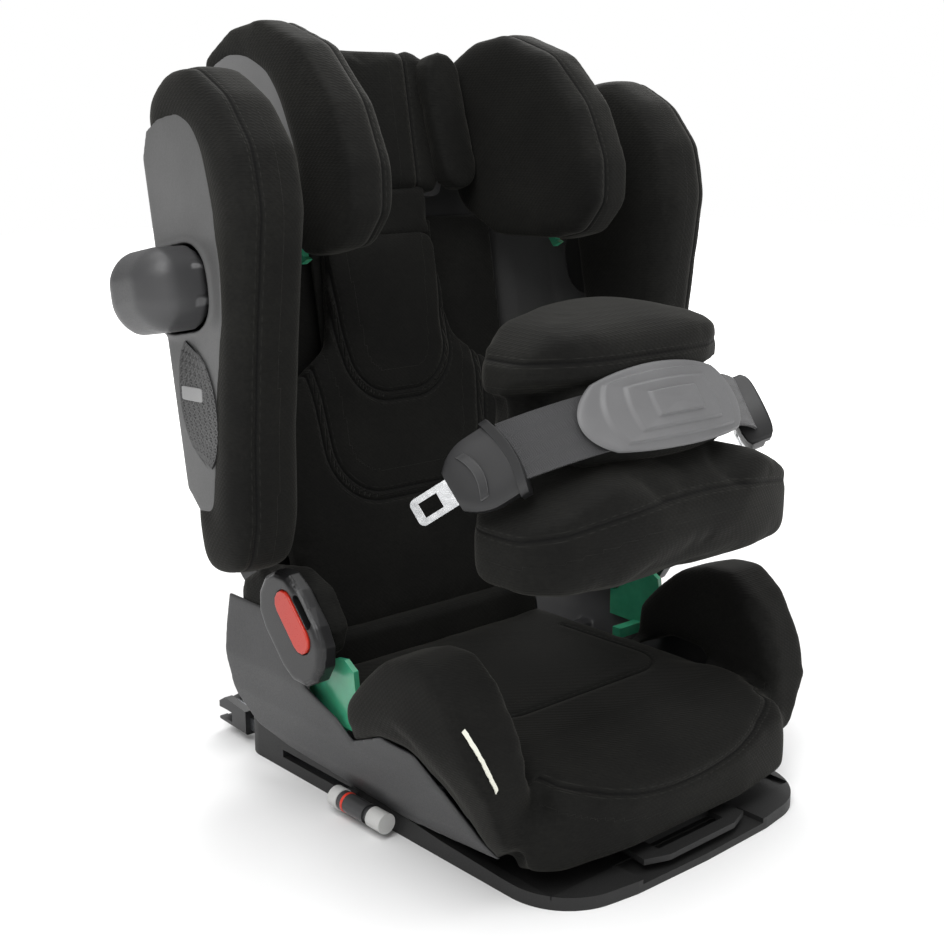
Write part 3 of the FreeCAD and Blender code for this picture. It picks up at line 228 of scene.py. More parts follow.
# ------------------------------------------------------------------ seat shell, rails' cover and side guides
# The booster is a two-part ABS moulding: a pan hidden under the cushion and a flared shell each side.
# A green guide on each side leads the car's lap belt.

shell_plastic = moulded("grained_abs_dark", "#2b2b2c", "#343435", 0.5, 1.3, 0.16)

def eased(name, source, voxel, soften, swell, material):
    """A hard moulding from the space its solid holds, with all its edges melted round."""
    clean_start()
    piece = bpy.data.objects.new(name, nodes[source].data.copy())
    bpy.context.scene.collection.objects.link(piece)
    piece.select_set(True)
    bpy.context.view_layer.objects.active = piece
    bpy.ops.object.mode_set(mode="EDIT")
    bpy.ops.mesh.select_all(action="SELECT")
    bpy.ops.mesh.remove_doubles(threshold=0.00002)
    bpy.ops.mesh.normals_make_consistent(inside=False)
    bpy.ops.object.mode_set(mode="OBJECT")
    piece.data.remesh_voxel_size = voxel
    bpy.ops.object.voxel_remesh()
    ease = piece.modifiers.new("ease", "SMOOTH")
    ease.iterations = soften
    bpy.ops.object.modifier_apply(modifier=ease.name)
    bpy.ops.object.mode_set(mode="EDIT")
    bpy.ops.mesh.select_all(action="SELECT")
    bpy.ops.transform.shrink_fatten(value=swell)
    bpy.ops.object.mode_set(mode="OBJECT")
    piece.data.materials.clear()
    piece.data.materials.append(material)
    bpy.ops.object.shade_smooth()
    return piece


shell_left = eased("seat_shell_left", "side_shell_left", 0.0016, 26, 0.0002, shell_plastic)
for side, piece in (("left", shell_left), ("right", twin(shell_left, "seat_shell_right"))):
    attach(piece, "booster")
    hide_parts("side_shell_" + side)
paint(tray_plastic, "seat_pan", "back_shell")

# clear-tinted green polycarbonate: glossy, a little light shows through
green, green_surface, green_place = new_material("tinted_green_polycarbonate", IOR=1.585, Roughness=0.22,
                                                 Subsurface_Weight=0.25, Subsurface_Scale=0.01)
green_drift = add_node(green, "TexNoise", {"Vector": green_place, "Scale": 60.0, "Detail": 2.0})
green_tone = add_node(green, "ValToRGB", {"Fac": green_drift.outputs["Fac"]})
green_tone.color_ramp.elements[0].color = linear("#2b7a5a")
green_tone.color_ramp.elements[1].color = linear("#46a07c")
join_up(green, green_tone.outputs["Color"], green_surface.inputs["Base Color"])
paint(green, *both("belt_guide"), *both("belt_hook"))

# ------------------------------------------------------------------ padded covers of the booster
# The cover is black polyester jersey laminated to 6 mm foam, cut in panels and sewn.
# Bolsters, seat cushion and front apron are one washable cover that wraps the shell's edges.

VOXEL = 0.0055
SEAM_FAR = 0.05
# a wave texture of scale 1 repeats every 0.314 m
WAVE_RUN = 0.314


def jersey(name, dark, light):
    """Knitted polyester jersey on foam: a soft rim of sheen, fine stitches, sunk seams darkened with painted
    shade, with thread.
    """
    material, surface, place = new_material(name, IOR=1.45, Roughness=0.82, Sheen_Weight=0.14,
                                            Sheen_Roughness=0.45, Sheen_Tint=linear("#a8a69e"),
                                            Specular_IOR_Level=0.16)
    # knit wales are 0.8 mm apart; drawn at 2.4 mm so that they show
    wales = add_node(material, "TexWave", {"Vector": place, "Scale": WAVE_RUN / 0.0024, "Distortion": 1.2,
                                           "Detail": 1.0, "Detail Scale": 3.0}, bands_direction="DIAGONAL")
    courses = add_node(material, "TexWave", {"Vector": place, "Scale": WAVE_RUN / 0.0024, "Distortion": 1.2,
                                             "Detail": 1.0, "Detail Scale": 3.0}, bands_direction="Z")
    knit = add_node(material, "Math", {0: wales.outputs["Fac"], 1: courses.outputs["Fac"]},
                    operation="MULTIPLY")
    melange = add_node(material, "TexNoise", {"Vector": place, "Scale": 260.0, "Detail": 3.0,
                                              "Roughness": 0.7})
    shade = add_node(material, "TexNoise", {"Vector": place, "Scale": 14.0, "Detail": 2.0})
    mixed = add_node(material, "Math", {0: melange.outputs["Fac"], 1: shade.outputs["Fac"]},
                     operation="MULTIPLY")
    tone = add_node(material, "ValToRGB", {"Fac": mixed.outputs["Value"]})
    tone.color_ramp.elements[0].color = linear(dark)
    tone.color_ramp.elements[0].position = 0.14
    tone.color_ramp.elements[1].color = linear(light)
    tone.color_ramp.elements[1].position = 0.42
    # the distance to the nearest seam is kept on the mesh, offset so that none reads as far away
    seam = add_node(material, "Attribute", attribute_name="seam")
    offset = add_node(material, "Math", {0: seam.outputs["Fac"], 1: SEAM_FAR}, operation="SUBTRACT")
    away = add_node(material, "Math", {0: offset.outputs["Value"]}, operation="ABSOLUTE")
    sunk = add_node(material, "MapRange", {"Value": away.outputs["Value"], "From Max": 0.0022},
                    interpolation_type="SMOOTHSTEP")
    row = add_node(material, "Math", {0: away.outputs["Value"], 1: 0.0034}, operation="SUBTRACT")
    row_away = add_node(material, "Math", {0: row.outputs["Value"]}, operation="ABSOLUTE")
    row_line = add_node(material, "MapRange", {"Value": row_away.outputs["Value"], "From Max": 0.0008,
                                               "To Min": 1.0, "To Max": 0.0}, interpolation_type="SMOOTHSTEP")
    dashes = add_node(material, "TexWave", {"Vector": place, "Scale": WAVE_RUN / 0.0042, "Distortion": 0.0},
                      bands_direction="DIAGONAL")
    thread = add_node(material, "Math", {0: row_line.outputs["Result"], 1: dashes.outputs["Fac"]},
                      operation="MULTIPLY")
    # painted shade: the fabric darkens to near black in the sunk seam's groove
    seam_painted_shade = recolour(material, sunk.outputs["Result"], linear("#060606"), tone.outputs["Color"])
    threaded = recolour(material, thread.outputs["Value"], seam_painted_shade.outputs[2], linear("#20201e"))
    weave = add_node(material, "Bump", {"Height": knit.outputs["Value"], "Strength": 0.35,
                                        "Distance": 0.0005})
    channel = add_node(material, "Bump", {"Height": sunk.outputs["Result"], "Strength": 0.8,
                                          "Distance": 0.0012, "Normal": weave.outputs["Normal"]})
    stitch = add_node(material, "Bump", {"Height": thread.outputs["Value"], "Strength": 0.6,
                                         "Distance": 0.0005, "Normal": channel.outputs["Normal"]})
    join_up(material, threaded.outputs[2], surface.inputs["Base Color"])
    join_up(material, stitch.outputs["Normal"], surface.inputs["Normal"])
    return material


def recolour(material, amount, first, second):
    """Mixes two colours, each a plain colour or a node's output."""
    node = material.node_tree.nodes.new("ShaderNodeMix")
    node.data_type = "RGBA"
    for socket, value in ((node.inputs[0], amount), (node.inputs[6], first), (node.inputs[7], second)):
        if isinstance(value, bpy.types.NodeSocket):
            material.node_tree.links.new(value, socket)
        else:
            socket.default_value = value
    return node


cover_jersey = jersey("black_polyester_jersey", "#0d0d0c", "#171715")


def points_of(piece):
    co = np.zeros(len(piece.data.vertices) * 3)
    piece.data.vertices.foreach_get("co", co)
    return co.reshape(-1, 3)


def put_points(piece, co):
    piece.data.vertices.foreach_set("co", co.ravel())
    piece.data.update()


def plump(piece, swell, shrink, soften, pressure=4.0, voxel=VOXEL):
    """Remeshes a form evenly, eases its edges, then blows it up like a filled cover."""
    piece.data.remesh_voxel_size = voxel
    bpy.ops.object.voxel_remesh()
    ease = piece.modifiers.new("ease", "SMOOTH")
    ease.factor = 0.5
    ease.iterations = soften
    bpy.ops.object.modifier_apply(modifier=ease.name)
    bpy.ops.object.mode_set(mode="EDIT")
    bpy.ops.mesh.select_all(action="SELECT")
    bpy.ops.transform.shrink_fatten(value=-shrink)
    bpy.ops.object.mode_set(mode="OBJECT")
    start = points_of(piece)
    cloth = piece.modifiers.new("stuffing", "CLOTH")
    cloth.settings.use_pressure = True
    cloth.settings.uniform_pressure_force = pressure
    cloth.settings.effector_weights.gravity = 0.0
    cloth.settings.quality = 4
    cloth.point_cache.frame_end = 20
    for step in range(1, 21):
        bpy.context.scene.frame_set(step)
    bpy.ops.object.modifier_apply(modifier=cloth.name)
    bpy.context.scene.frame_set(1)
    moved = points_of(piece) - start
    length = np.linalg.norm(moved, axis=1, keepdims=True)
    put_points(piece, start + moved * np.minimum(1.0, swell / np.maximum(length, 1e-9)))
    finer = piece.modifiers.new("finer", "SUBSURF")
    finer.levels = finer.render_levels = 1
    bpy.ops.object.modifier_apply(modifier=finer.name)
    piece.data.materials.clear()
    piece.data.materials.append(cover_jersey)
    bpy.ops.object.shade_smooth()
    return piece


def block(name, low, high, place=Matrix.Identity(4)):
    """A plain box between two corners, ready to be shaped, set in its place."""
    clean_start()
    low, high = Vector(low), Vector(high)
    bpy.ops.mesh.primitive_cube_add(size=1.0)
    piece = bpy.context.object
    piece.name = piece.data.name = name
    piece.data.transform(place @ Matrix.Translation((low + high) / 2) @ Matrix.Diagonal((*(high - low), 1.0)))
    return piece


def stuffed(name, sources, swell=0.006, shrink=0.002, soften=6, voxel=VOXEL):
    """A padded piece from the space that its solids hold."""
    clean_start()
    copies = []
    for source in sources:
        copy = bpy.data.objects.new(name, nodes[source].data.copy())
        bpy.context.scene.collection.objects.link(copy)
        copy.select_set(True)
        copies.append(copy)
    bpy.context.view_layer.objects.active = copies[0]
    if len(copies) > 1:
        bpy.ops.object.join()
    piece = bpy.context.object
    piece.name = piece.data.name = name
    bpy.ops.object.mode_set(mode="EDIT")
    bpy.ops.mesh.select_all(action="SELECT")
    bpy.ops.mesh.remove_doubles(threshold=0.00002)
    bpy.ops.mesh.normals_make_consistent(inside=False)
    bpy.ops.object.mode_set(mode="OBJECT")
    return plump(piece, swell, shrink, soften, voxel=voxel)


def sew(piece, *lines, depth=0.0022, width=0.0042):
    """Sinks each seam into the padding and keeps the distance to the nearest one for its thread."""
    co = points_of(piece)
    normals = np.zeros(len(co) * 3)
    piece.data.vertices.foreach_get("normal", normals)
    normals = normals.reshape(-1, 3)
    nearest = np.full(len(co), 0.02)
    sink = np.zeros(len(co))
    for line in lines:
        distance = line(co)
        nearest = np.where(np.abs(distance) < np.abs(nearest), distance, nearest)
        sink = np.maximum(sink, np.exp(-(distance / width) ** 2))
    put_points(piece, co - normals * (sink * depth)[:, None])
    seam = piece.data.attributes.new("seam", "FLOAT", "POINT")
    seam.data.foreach_set("value", (np.clip(nearest, -0.02, 0.02) + SEAM_FAR).astype(np.float32))
    return piece


FAR = 0.02
seat_half = (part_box("seat_cushion")[1].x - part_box("seat_cushion")[0].x) / 2 - 0.018
seat_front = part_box("seat_cushion")[0].y
seat_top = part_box("seat_cushion")[1].z


def apron_seam(co):
    """The cushion's front edge: high at its corners, low in the middle."""
    x, y, z = co.T
    edge = seat_top - 0.036 + 0.034 * (x / seat_half) ** 2
    return np.where((y < seat_front + 0.045) & (np.abs(x) < seat_half + 0.004), z - edge, FAR)


def seat_quilt(co):
    """A channel sewn round the middle of the cushion."""
    x, y, z = co.T
    bend = np.hypot(np.maximum(np.abs(x) - 0.070, 0.0), np.maximum(-0.068 - y, 0.0))
    distance = np.where((np.abs(x) > 0.070) | (y < -0.068), bend - 0.040, -FAR)
    return np.where((z > seat_top - 0.02) & (y < 0.03), distance, FAR)


seat_cover = stuffed("seat_cover", ["seat_cushion", "bolster_left", "bolster_right"], swell=0.004, shrink=0.0,
                     soften=12)
sew(seat_cover, apron_seam, seat_quilt)
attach(seat_cover, "booster")
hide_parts("seat_cushion", "bolster_left", "bolster_right")

# a cream woven ribbon tag is sewn on the left bolster
tag_cloth = moulded("cream_woven_ribbon", "#cfcfc0", "#dcdcd0", 0.8, 1.6, 0.15)
clean_start()
bpy.ops.mesh.primitive_grid_add(x_subdivisions=40, y_subdivisions=4, size=1.0)
tag = bpy.context.object
bolster_low, bolster_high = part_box("bolster_left")
tag_corner = Vector((bolster_low.x, bolster_low.y, bolster_high.z))
tag_top = tag_corner + Vector((0.0065, 0.022, -0.040))
tag_foot = tag_corner + Vector((0.0195, -0.018, -0.080))
tag_run = tag_foot - tag_top
tag_side = tag_run.cross(Vector((-1.0, -0.6, 0.3))).normalized() * 0.0052
tag.data.transform(Matrix.Translation((tag_top + tag_foot) / 2)
                   @ Matrix((tag_run, tag_side, tag_run.cross(tag_side).normalized())).transposed().to_4x4())
wrap = tag.modifiers.new("lie on the cover", "SHRINKWRAP")
wrap.target = seat_cover
wrap.wrap_mode = "OUTSIDE_SURFACE"
wrap.offset = 0.0012
bpy.ops.object.modifier_apply(modifier=wrap.name)
thick = tag.modifiers.new("cloth", "SOLIDIFY")
thick.thickness = 0.0012
thick.offset = 0.0
bpy.ops.object.modifier_apply(modifier=thick.name)
tag = made("side_tag", tag_cloth)
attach(tag, "booster")

hip_left = stuffed("hip_cover_left_pad", ["hip_cover_left"], swell=0.003, shrink=0.001, soften=3, voxel=0.004)
hip_right = twin(hip_left, "hip_cover_right_pad")
for piece, node in ((hip_left, "hip_cover_left"), (hip_right, "hip_cover_right")):
    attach(piece, "booster")
    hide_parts(node)

# ------------------------------------------------------------------ buckle pods
# Each pod is a rounded nylon housing with a long red release button sunk in its face.

pod_plastic = moulded("pod_nylon", "#141415", "#1b1b1c", 0.38, 1.0, 0.06)
pod_left = eased("buckle_housing_left", "buckle_pod_left", 0.0013, 4, -0.0002, pod_plastic)
for side, piece in (("left", pod_left), ("right", twin(pod_left, "buckle_housing_right"))):
    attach(piece, "booster")
    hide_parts("buckle_pod_" + side)
button_red = moulded("button_red_abs", "#b02817", "#bd3321", 0.32, 1.2, 0.05)
paint(button_red, *both("buckle_button"))

# ------------------------------------------------------------------ backrest
# A hollow ABS back carries a quilted pad; black covered panels fill its sides behind the pad.

lean = math.radians(10)
hinge = [j for j in frame["joints"] if j["name"] == "backrest_tilt"][0]["pos_m"]


def up_the_back(co):
    """Depth and height of points in the leaning backrest's own frame."""
    y, z = co[:, 1] - hinge[1], co[:, 2] - hinge[2]
    return y * math.cos(lean) - z * math.sin(lean), y * math.sin(lean) + z * math.cos(lean)


def back_u(bottom, half, corner):
    """A U-shaped channel sewn in the back pad."""
    def line(co):
        depth, height = up_the_back(co)
        x = np.abs(co[:, 0])
        spread = half + 0.10 * np.maximum(height - bottom, 0.0)
        inner_x, inner_h = spread - corner, bottom + corner
        round_part = np.hypot(np.maximum(x - inner_x, 0.0), np.maximum(inner_h - height, 0.0)) - corner
        inside = np.maximum(x - spread, bottom - height)
        distance = np.where((x > inner_x) & (height < inner_h), round_part, inside)
        return np.where(depth < -0.004, distance, FAR)
    return line


back_pad = stuffed("backrest_pad", ["back_pad"], swell=0.005, shrink=0.001, soften=4)
sew(back_pad, back_u(0.139, 0.092, 0.055), back_u(0.147, 0.084, 0.050), back_u(0.230, 0.060, 0.045),
    back_u(0.238, 0.053, 0.040), depth=0.0018, width=0.0028)
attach(back_pad, "backrest")
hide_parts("back_pad")

leaning = Matrix.Translation(hinge) @ Matrix.Rotation(-lean, 4, "X")
shell_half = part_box("back_shell")[1].x
side_lining = block("back_lining_left", (-shell_half + 0.003, 0.0132, 0.030), (-0.062, 0.0176, 0.402),
                    leaning)
plump(side_lining, swell=0.001, shrink=0.0, soften=1, voxel=0.0035)
other_lining = twin(side_lining, "back_lining_right")
for piece in (side_lining, other_lining):
    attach(piece, "backrest")

# the cover bridges the gap between the seat and the foot of the back pad
gusset = block("lumbar_gusset", (-0.136, 0.091, 0.086), (0.136, 0.108, 0.131))
plump(gusset, swell=0.003, shrink=0.0, soften=6, voxel=0.005)
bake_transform(gusset)

# ------------------------------------------------------------------ shoulder wings and side protectors
# Each wing is a grey ABS panel wrapped on its front, top and inside by a thick foam cover.

wing_plastic = moulded("grained_abs_grey", "#494949", "#545454", 0.5, 1.3, 0.14)
paint(wing_plastic, "head_shell")

# the wing's panel is grey outside; its return behind the cover is lined in black flock
lined = wing_plastic.copy()
lined.name = "grained_abs_grey_flocked_inside"
lined_nodes = lined.node_tree.nodes
lined_surface = lined_nodes["Principled BSDF"]
grey_tone = lined_surface.inputs["Base Color"].links[0].from_socket
lined_place = [n for n in lined_nodes if n.bl_idname == "ShaderNodeTexCoord"][0].outputs["Object"]
across = add_node(lined, "SeparateXYZ", {"Vector": lined_place})
side_way = add_node(lined, "Math", {0: across.outputs["X"]}, operation="ABSOLUTE")
outside = add_node(lined, "MapRange", {"Value": side_way.outputs["Value"], "From Min": 0.2575,
                                       "From Max": 0.2590})
two_tone = recolour(lined, outside.outputs["Result"], linear("#121211"), grey_tone)
join_up(lined, two_tone.outputs[2], lined_surface.inputs["Base Color"])
panel_left = eased("wing_panel_left", "wing_shell_left", 0.0020, 10, -0.0002, lined)
for side, piece in (("left", panel_left), ("right", twin(panel_left, "wing_panel_right"))):
    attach(piece, "wing_" + side)
    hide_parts("wing_shell_" + side)

guard_plastic = moulded("guard_abs", "#303031", "#3a3a3b", 0.42, 1.3, 0.08)
guard_low, guard_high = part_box("side_guard_left")
guard_mid = (guard_low + guard_high) / 2


guard_left = eased("side_protector_left", "side_guard_left", 0.0030, 9, -0.0006, guard_plastic)
co = points_of(guard_left)
tip = np.clip((guard_mid.x - 0.004 - co[:, 0]) / (guard_mid.x - guard_low.x), 0.0, 1.0)
co[:, 1:] += (np.array(guard_mid)[1:] + (0.004, 0.004) - co[:, 1:]) * (0.30 * tip ** 1.4)[:, None]
# the part inside the wing's cup keeps clear of its wall
in_cup = co[:, 0] > -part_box("wing_shell_right")[1].x - 0.0005
co[in_cup, 1:] += (np.array(guard_mid)[1:] - co[in_cup, 1:]) * 0.05
put_points(guard_left, co)
guard_right = twin(guard_left, "side_protector_right")
for piece, side in ((guard_left, "left"), (guard_right, "right")):
    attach(piece, "guard_" + side)
    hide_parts("side_guard_" + side)

# a vent of moulded lattice over a dark sheet that paints the shadow in its pocket, low on the panel, with a
# blank label plate across it
panel_out = -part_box("wing_shell_left")[0].x - 0.0025
vent_shadow_sheet = moulded("vent_pocket_shadow", "#242424", "#2b2b2b", 0.7, 1.2, 0.1)


def vent_outline(piece, high_up):
    """Shapes a unit grid to the vent's leaf outline on the wing's side."""
    co = points_of(piece)
    across_leaf, along_leaf = co[:, 0].copy(), co[:, 1].copy()
    half = 0.026 * np.sqrt(np.clip(1.0 - (along_leaf * 0.94) ** 2, 0.0, 1.0))
    depth = -0.089 - 0.004 * along_leaf + across_leaf * half - 0.012 * (1.0 - along_leaf) * 0.2
    height = 0.253 + along_leaf * 0.045 + across_leaf * 0.006
    co[:, 0] = -panel_out - high_up
    co[:, 1] = hinge[1] + depth * math.cos(lean) + height * math.sin(lean)
    co[:, 2] = hinge[2] - depth * math.sin(lean) + height * math.cos(lean)
    put_points(piece, co)


clean_start()
bpy.ops.mesh.primitive_grid_add(x_subdivisions=12, y_subdivisions=24, size=2.0)
vent_outline(bpy.context.object, 0.0003)
pocket_wall = bpy.context.object.modifiers.new("wall", "SOLIDIFY")
pocket_wall.thickness = 0.0005
bpy.ops.object.modifier_apply(modifier=pocket_wall.name)
vent_back_left = made("vent_pocket_left", vent_shadow_sheet)
clean_start()
bpy.ops.mesh.primitive_grid_add(x_subdivisions=7, y_subdivisions=13, size=2.0)
bpy.ops.object.mode_set(mode="EDIT")
bpy.ops.mesh.select_all(action="SELECT")
bpy.ops.mesh.poke()
bpy.ops.object.mode_set(mode="OBJECT")
vent_outline(bpy.context.object, 0.0008)
ribs_of = bpy.context.object.modifiers.new("ribs", "WIREFRAME")
ribs_of.thickness = 0.0013
bpy.ops.object.modifier_apply(modifier=ribs_of.name)
vent_left = made("vent_lattice_left", wing_plastic)
clean_start()
bpy.ops.mesh.primitive_cube_add(size=1.0)
bpy.ops.object.mode_set(mode="EDIT")
bpy.ops.mesh.select_all(action="SELECT")
bpy.ops.mesh.bevel(offset=0.12, segments=3, affect="EDGES")
bpy.ops.object.mode_set(mode="OBJECT")
bpy.context.object.data.transform(
    Matrix.Translation((-panel_out - 0.0012, 0, 0)) @ leaning @ Matrix.Translation((0, -0.085, 0.262))
    @ Matrix.Rotation(math.radians(8), 4, "X") @ Matrix.Diagonal((0.0016, 0.030, 0.011, 1.0)))
label_left = made("blank_label_left", moulded("label_polycarbonate", "#7c7c7c", "#868686", 0.5, 1.2, 0.03))
for piece in (vent_back_left, vent_left, label_left):
    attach(piece, "wing_left")
    right = twin(piece, piece.name.replace("_left", "_right"))
    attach(right, "wing_right")

wing_out = -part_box("wing_cover_left")[0].x


def wing_seam(co):
    """The seam between a wing's outer strip and its front."""
    depth, height = up_the_back(co)
    return np.where(depth < -0.02, np.abs(co[:, 0]) - (wing_out - 0.014), FAR)


wing_left = stuffed("wing_pad_left", ["wing_cover_left"], swell=0.0015, shrink=-0.001, soften=18)
sew(wing_left, wing_seam, depth=0.0012)
wing_right = twin(wing_left, "wing_pad_right")
for piece, node, body in ((wing_left, "wing_cover_left", "wing_left"),
                          (wing_right, "wing_cover_right", "wing_right")):
    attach(piece, body)
    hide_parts(node)

# ------------------------------------------------------------------ headrest
# The headrest slides on two tubes; padded wings and cheeks surround the head.

head_in = -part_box("head_wing_left")[1].x


def head_wing_seam(co):
    """The seam round the front edge of a headrest wing."""
    depth, height = up_the_back(co)
    return np.where(depth < 0.0, np.abs(co[:, 0]) - (head_in + 0.013), FAR)


# painted light: the head panels get a lighter copy of the wings' grey ABS, for the light that falls on them
cheek_plastic_painted_lit = moulded("grained_abs_grey_painted_lighter", "#626262", "#6d6d6d", 0.5, 1.3, 0.14)
cheek_left = eased("head_panel_left", "head_side_shell_left", 0.0018, 14, 0.0002, cheek_plastic_painted_lit)
for side, piece in (("left", cheek_left), ("right", twin(cheek_left, "head_panel_right"))):
    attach(piece, "headrest")
    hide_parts("head_side_shell_" + side)

head_left = stuffed("head_wing_pad_left", ["head_wing_left"], swell=0.0015, shrink=-0.001, soften=16)
sew(head_left, head_wing_seam, depth=0.0016)
head_right = twin(head_left, "head_wing_pad_right")
ear_left = stuffed("ear_cheek_left", ["ear_pad_left"], swell=0.003, shrink=0.0, soften=2, voxel=0.0035)
ear_right = twin(ear_left, "ear_cheek_right")
for piece, node, fill in ((head_left, "head_wing_left", 0.8), (head_right, "head_wing_right", 0.8),
                          (ear_left, "ear_pad_left", 0.6), (ear_right, "ear_pad_right", 0.6)):
    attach(piece, "headrest")
    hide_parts(node)

head_pad = stuffed("head_rest_pad", ["head_pad"], swell=0.004, shrink=0.0005, soften=3, voxel=0.0045)
sew(head_pad, lambda co: np.where(up_the_back(co)[0] < 0.0, np.abs(co[:, 0]) - 0.050, FAR))
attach(head_pad, "headrest")
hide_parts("head_pad")

head_bib = stuffed("head_bib_cloth", ["head_bib"], swell=0.0015, shrink=0.0, soften=1, voxel=0.003)
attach(head_bib, "head_slide")
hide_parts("head_bib")

# the bib's folded top closes the gap under the head pad
bib_roll = block("bib_roll", (-0.060, -0.0115, 0.382), (0.060, 0.0015, 0.428), leaning)
plump(bib_roll, swell=0.002, shrink=0.0, soften=3, voxel=0.004)
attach(bib_roll, "head_slide")

# ------------------------------------------------------------------ impact shield
# A foam block in two lobes; the belt runs between them under a ridged rubber panel.

shield_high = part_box("shield_upper")[1].z
shield_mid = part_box("shield_lower")[1].z


def upper_seam(co):
    return co[:, 2] - (shield_high - 0.036)


def lower_seam(co):
    return co[:, 2] - (shield_mid - 0.020 - 0.9 * co[:, 0] ** 2)


shield_low_pad = stuffed("shield_lobe_lower", ["shield_lower"], swell=0.006, shrink=0.001, soften=16)
sew(shield_low_pad, lower_seam, depth=0.0012)
shield_top_pad = stuffed("shield_lobe_upper", ["shield_upper", "shield_core"], swell=0.005,
                         shrink=-0.001, soften=12)
sew(shield_top_pad, upper_seam, depth=0.0012)
for piece, covered in ((shield_low_pad, ["shield_lower"]), (shield_top_pad, ["shield_upper", "shield_core"])):
    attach(piece, "shield")
    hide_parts(*covered)

# the block's waist is drawn back at its ends, where the belt and the panel curve round it
waist = points_of(shield_top_pad)
in_waist = np.clip((shield_mid + 0.066 - waist[:, 2]) / 0.012, 0.0, 1.0) * (waist[:, 1] < -0.12)
waist[:, 1] += in_waist * 0.022 * (waist[:, 0] / 0.084) ** 2 * np.clip((-0.12 - waist[:, 1]) / 0.05, 0.0, 1.0)
put_points(shield_top_pad, waist)

# the belt's own frame: its middle on the front of the shield, leaning back with the waist
belt_lean = math.radians(-34.0)
belt_middle = Vector((0.0, -0.1934, 0.3663))
belt_tilt = Matrix.Rotation(belt_lean, 4, "X")
belt_place = Matrix.Translation(belt_middle) @ belt_tilt
PANEL_BEND = 0.015

# grey thermoplastic rubber: satin, soft to the light, with faint mould grain
tpr = moulded("grey_thermoplastic_rubber", "#5c5c5d", "#676768", 0.46, 1.2, 0.05)
panel_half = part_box("shield_panel")[1].x - 0.001
PANEL_TALL = 0.0355
# where each ridge stands, from middle (0) to rim (1), and how wide its riser and its fall are
PANEL_STEPS = (0.80, 0.56, 0.32)
RISER, TREAD = 0.055, 0.26
clean_start()
bpy.ops.mesh.primitive_grid_add(x_subdivisions=200, y_subdivisions=96, size=2.0)
panel = bpy.context.object
co = points_of(panel)
u, v = co[:, 0].copy(), co[:, 1].copy()
round_u, round_v = u * np.sqrt(1 - v * v / 2), v * np.sqrt(1 - u * u / 2)
level = np.maximum(np.abs(u), np.abs(v))
co[:, 0] = panel_half * (0.78 * round_u + 0.22 * u)
co[:, 2] = PANEL_TALL * (0.72 * round_v + 0.28 * v)
steps = 0.0
for edge in PANEL_STEPS:
    riser = np.clip((edge - level) / RISER, 0, 1)
    steps = steps + (riser ** 2 * (3 - 2 * riser) - 0.45 * np.clip((edge - level) / TREAD, 0, 1))
rim = np.clip((1.0 - level) / 0.10, 0.0, 1.0)
co[:, 1] = -0.0012 - 0.0024 * steps - 0.0026 * np.sqrt(1 - (1 - rim) ** 2)
co[:, 1] += PANEL_BEND * (co[:, 0] / panel_half) ** 2
put_points(panel, co)
panel.data.transform(belt_place)
wall = panel.modifiers.new("wall", "SOLIDIFY")
wall.thickness = 0.0026
wall.offset = -1.0
bpy.ops.object.modifier_apply(modifier=wall.name)
bpy.ops.object.mode_set(mode="EDIT")
bpy.ops.mesh.select_all(action="SELECT")
bpy.ops.mesh.normals_make_consistent(inside=False)
panel = made("shield_grip_panel", tpr)
bpy.ops.object.shade_smooth_by_angle(angle=math.radians(50))
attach(panel, "shield")
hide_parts("shield_panel")

# polyester webbing, 47 mm wide: a flat weave with two raised edge cords and a herringbone between
webbing, web_surface, _ = new_material("woven_polyester_webbing", IOR=1.5, Roughness=0.7,
                                       Sheen_Weight=0.2, Sheen_Roughness=0.4)
web_uv = add_node(webbing, "UVMap", uv_map="webbing")
parts = add_node(webbing, "SeparateXYZ", {"Vector": web_uv.outputs["UV"]})
# the herringbone's arms turn at each of the eight warp bands across the width
arms = add_node(webbing, "Math", {0: parts.outputs["Y"], 1: 0.0059}, operation="PINGPONG")
slant = add_node(webbing, "Math", {0: arms.outputs["Value"], 1: parts.outputs["X"]}, operation="ADD")
# threads are 0.7 mm apart; drawn at 1.5 mm so that they show
picks = add_node(webbing, "Math", {0: slant.outputs["Value"], 1: 2 * math.pi / 0.0015}, operation="MULTIPLY")
thread_wave = add_node(webbing, "Math", {0: picks.outputs["Value"]}, operation="SINE")
web_tone = add_node(webbing, "MapRange", {"Value": thread_wave.outputs["Value"], "From Min": -1.0})
web_mix = recolour(webbing, web_tone.outputs["Result"], linear("#28282a"), linear("#3a3a3b"))
web_bump = add_node(webbing, "Bump", {"Height": thread_wave.outputs["Value"], "Strength": 0.5,
                                      "Distance": 0.0003})
join_up(webbing, web_mix.outputs[2], web_surface.inputs["Base Color"])
join_up(webbing, web_bump.outputs["Normal"], web_surface.inputs["Normal"])

belt_half = 0.0235
belt_thick = 0.0022
# the belt lies along the panel as far as its reach, then curves back to the tongues
belt_reach, belt_back = 0.086, 0.140
belt_front = 0.0042
clean_start()
bpy.ops.mesh.primitive_grid_add(x_subdivisions=160, y_subdivisions=16, size=2.0)
belt = bpy.context.object
co = points_of(belt)
u, v = co[:, 0].copy(), co[:, 1].copy()
run = np.abs(u) * belt_back
behind = belt_front + PANEL_BEND * (np.minimum(run, belt_reach) / panel_half) ** 2
slope_in = 2 * PANEL_BEND * belt_reach / panel_half ** 2
beyond = np.maximum(run - belt_reach, 0.0)
rest_run = belt_back - belt_reach
end_depth = 0.0450
start_depth = belt_front + PANEL_BEND * (belt_reach / panel_half) ** 2
bend_more = (end_depth - start_depth - slope_in * rest_run) / rest_run ** 2
co[:, 0] = np.sign(u) * run
co[:, 1] = behind + slope_in * beyond + bend_more * beyond ** 2
co[:, 2] = belt_half * v
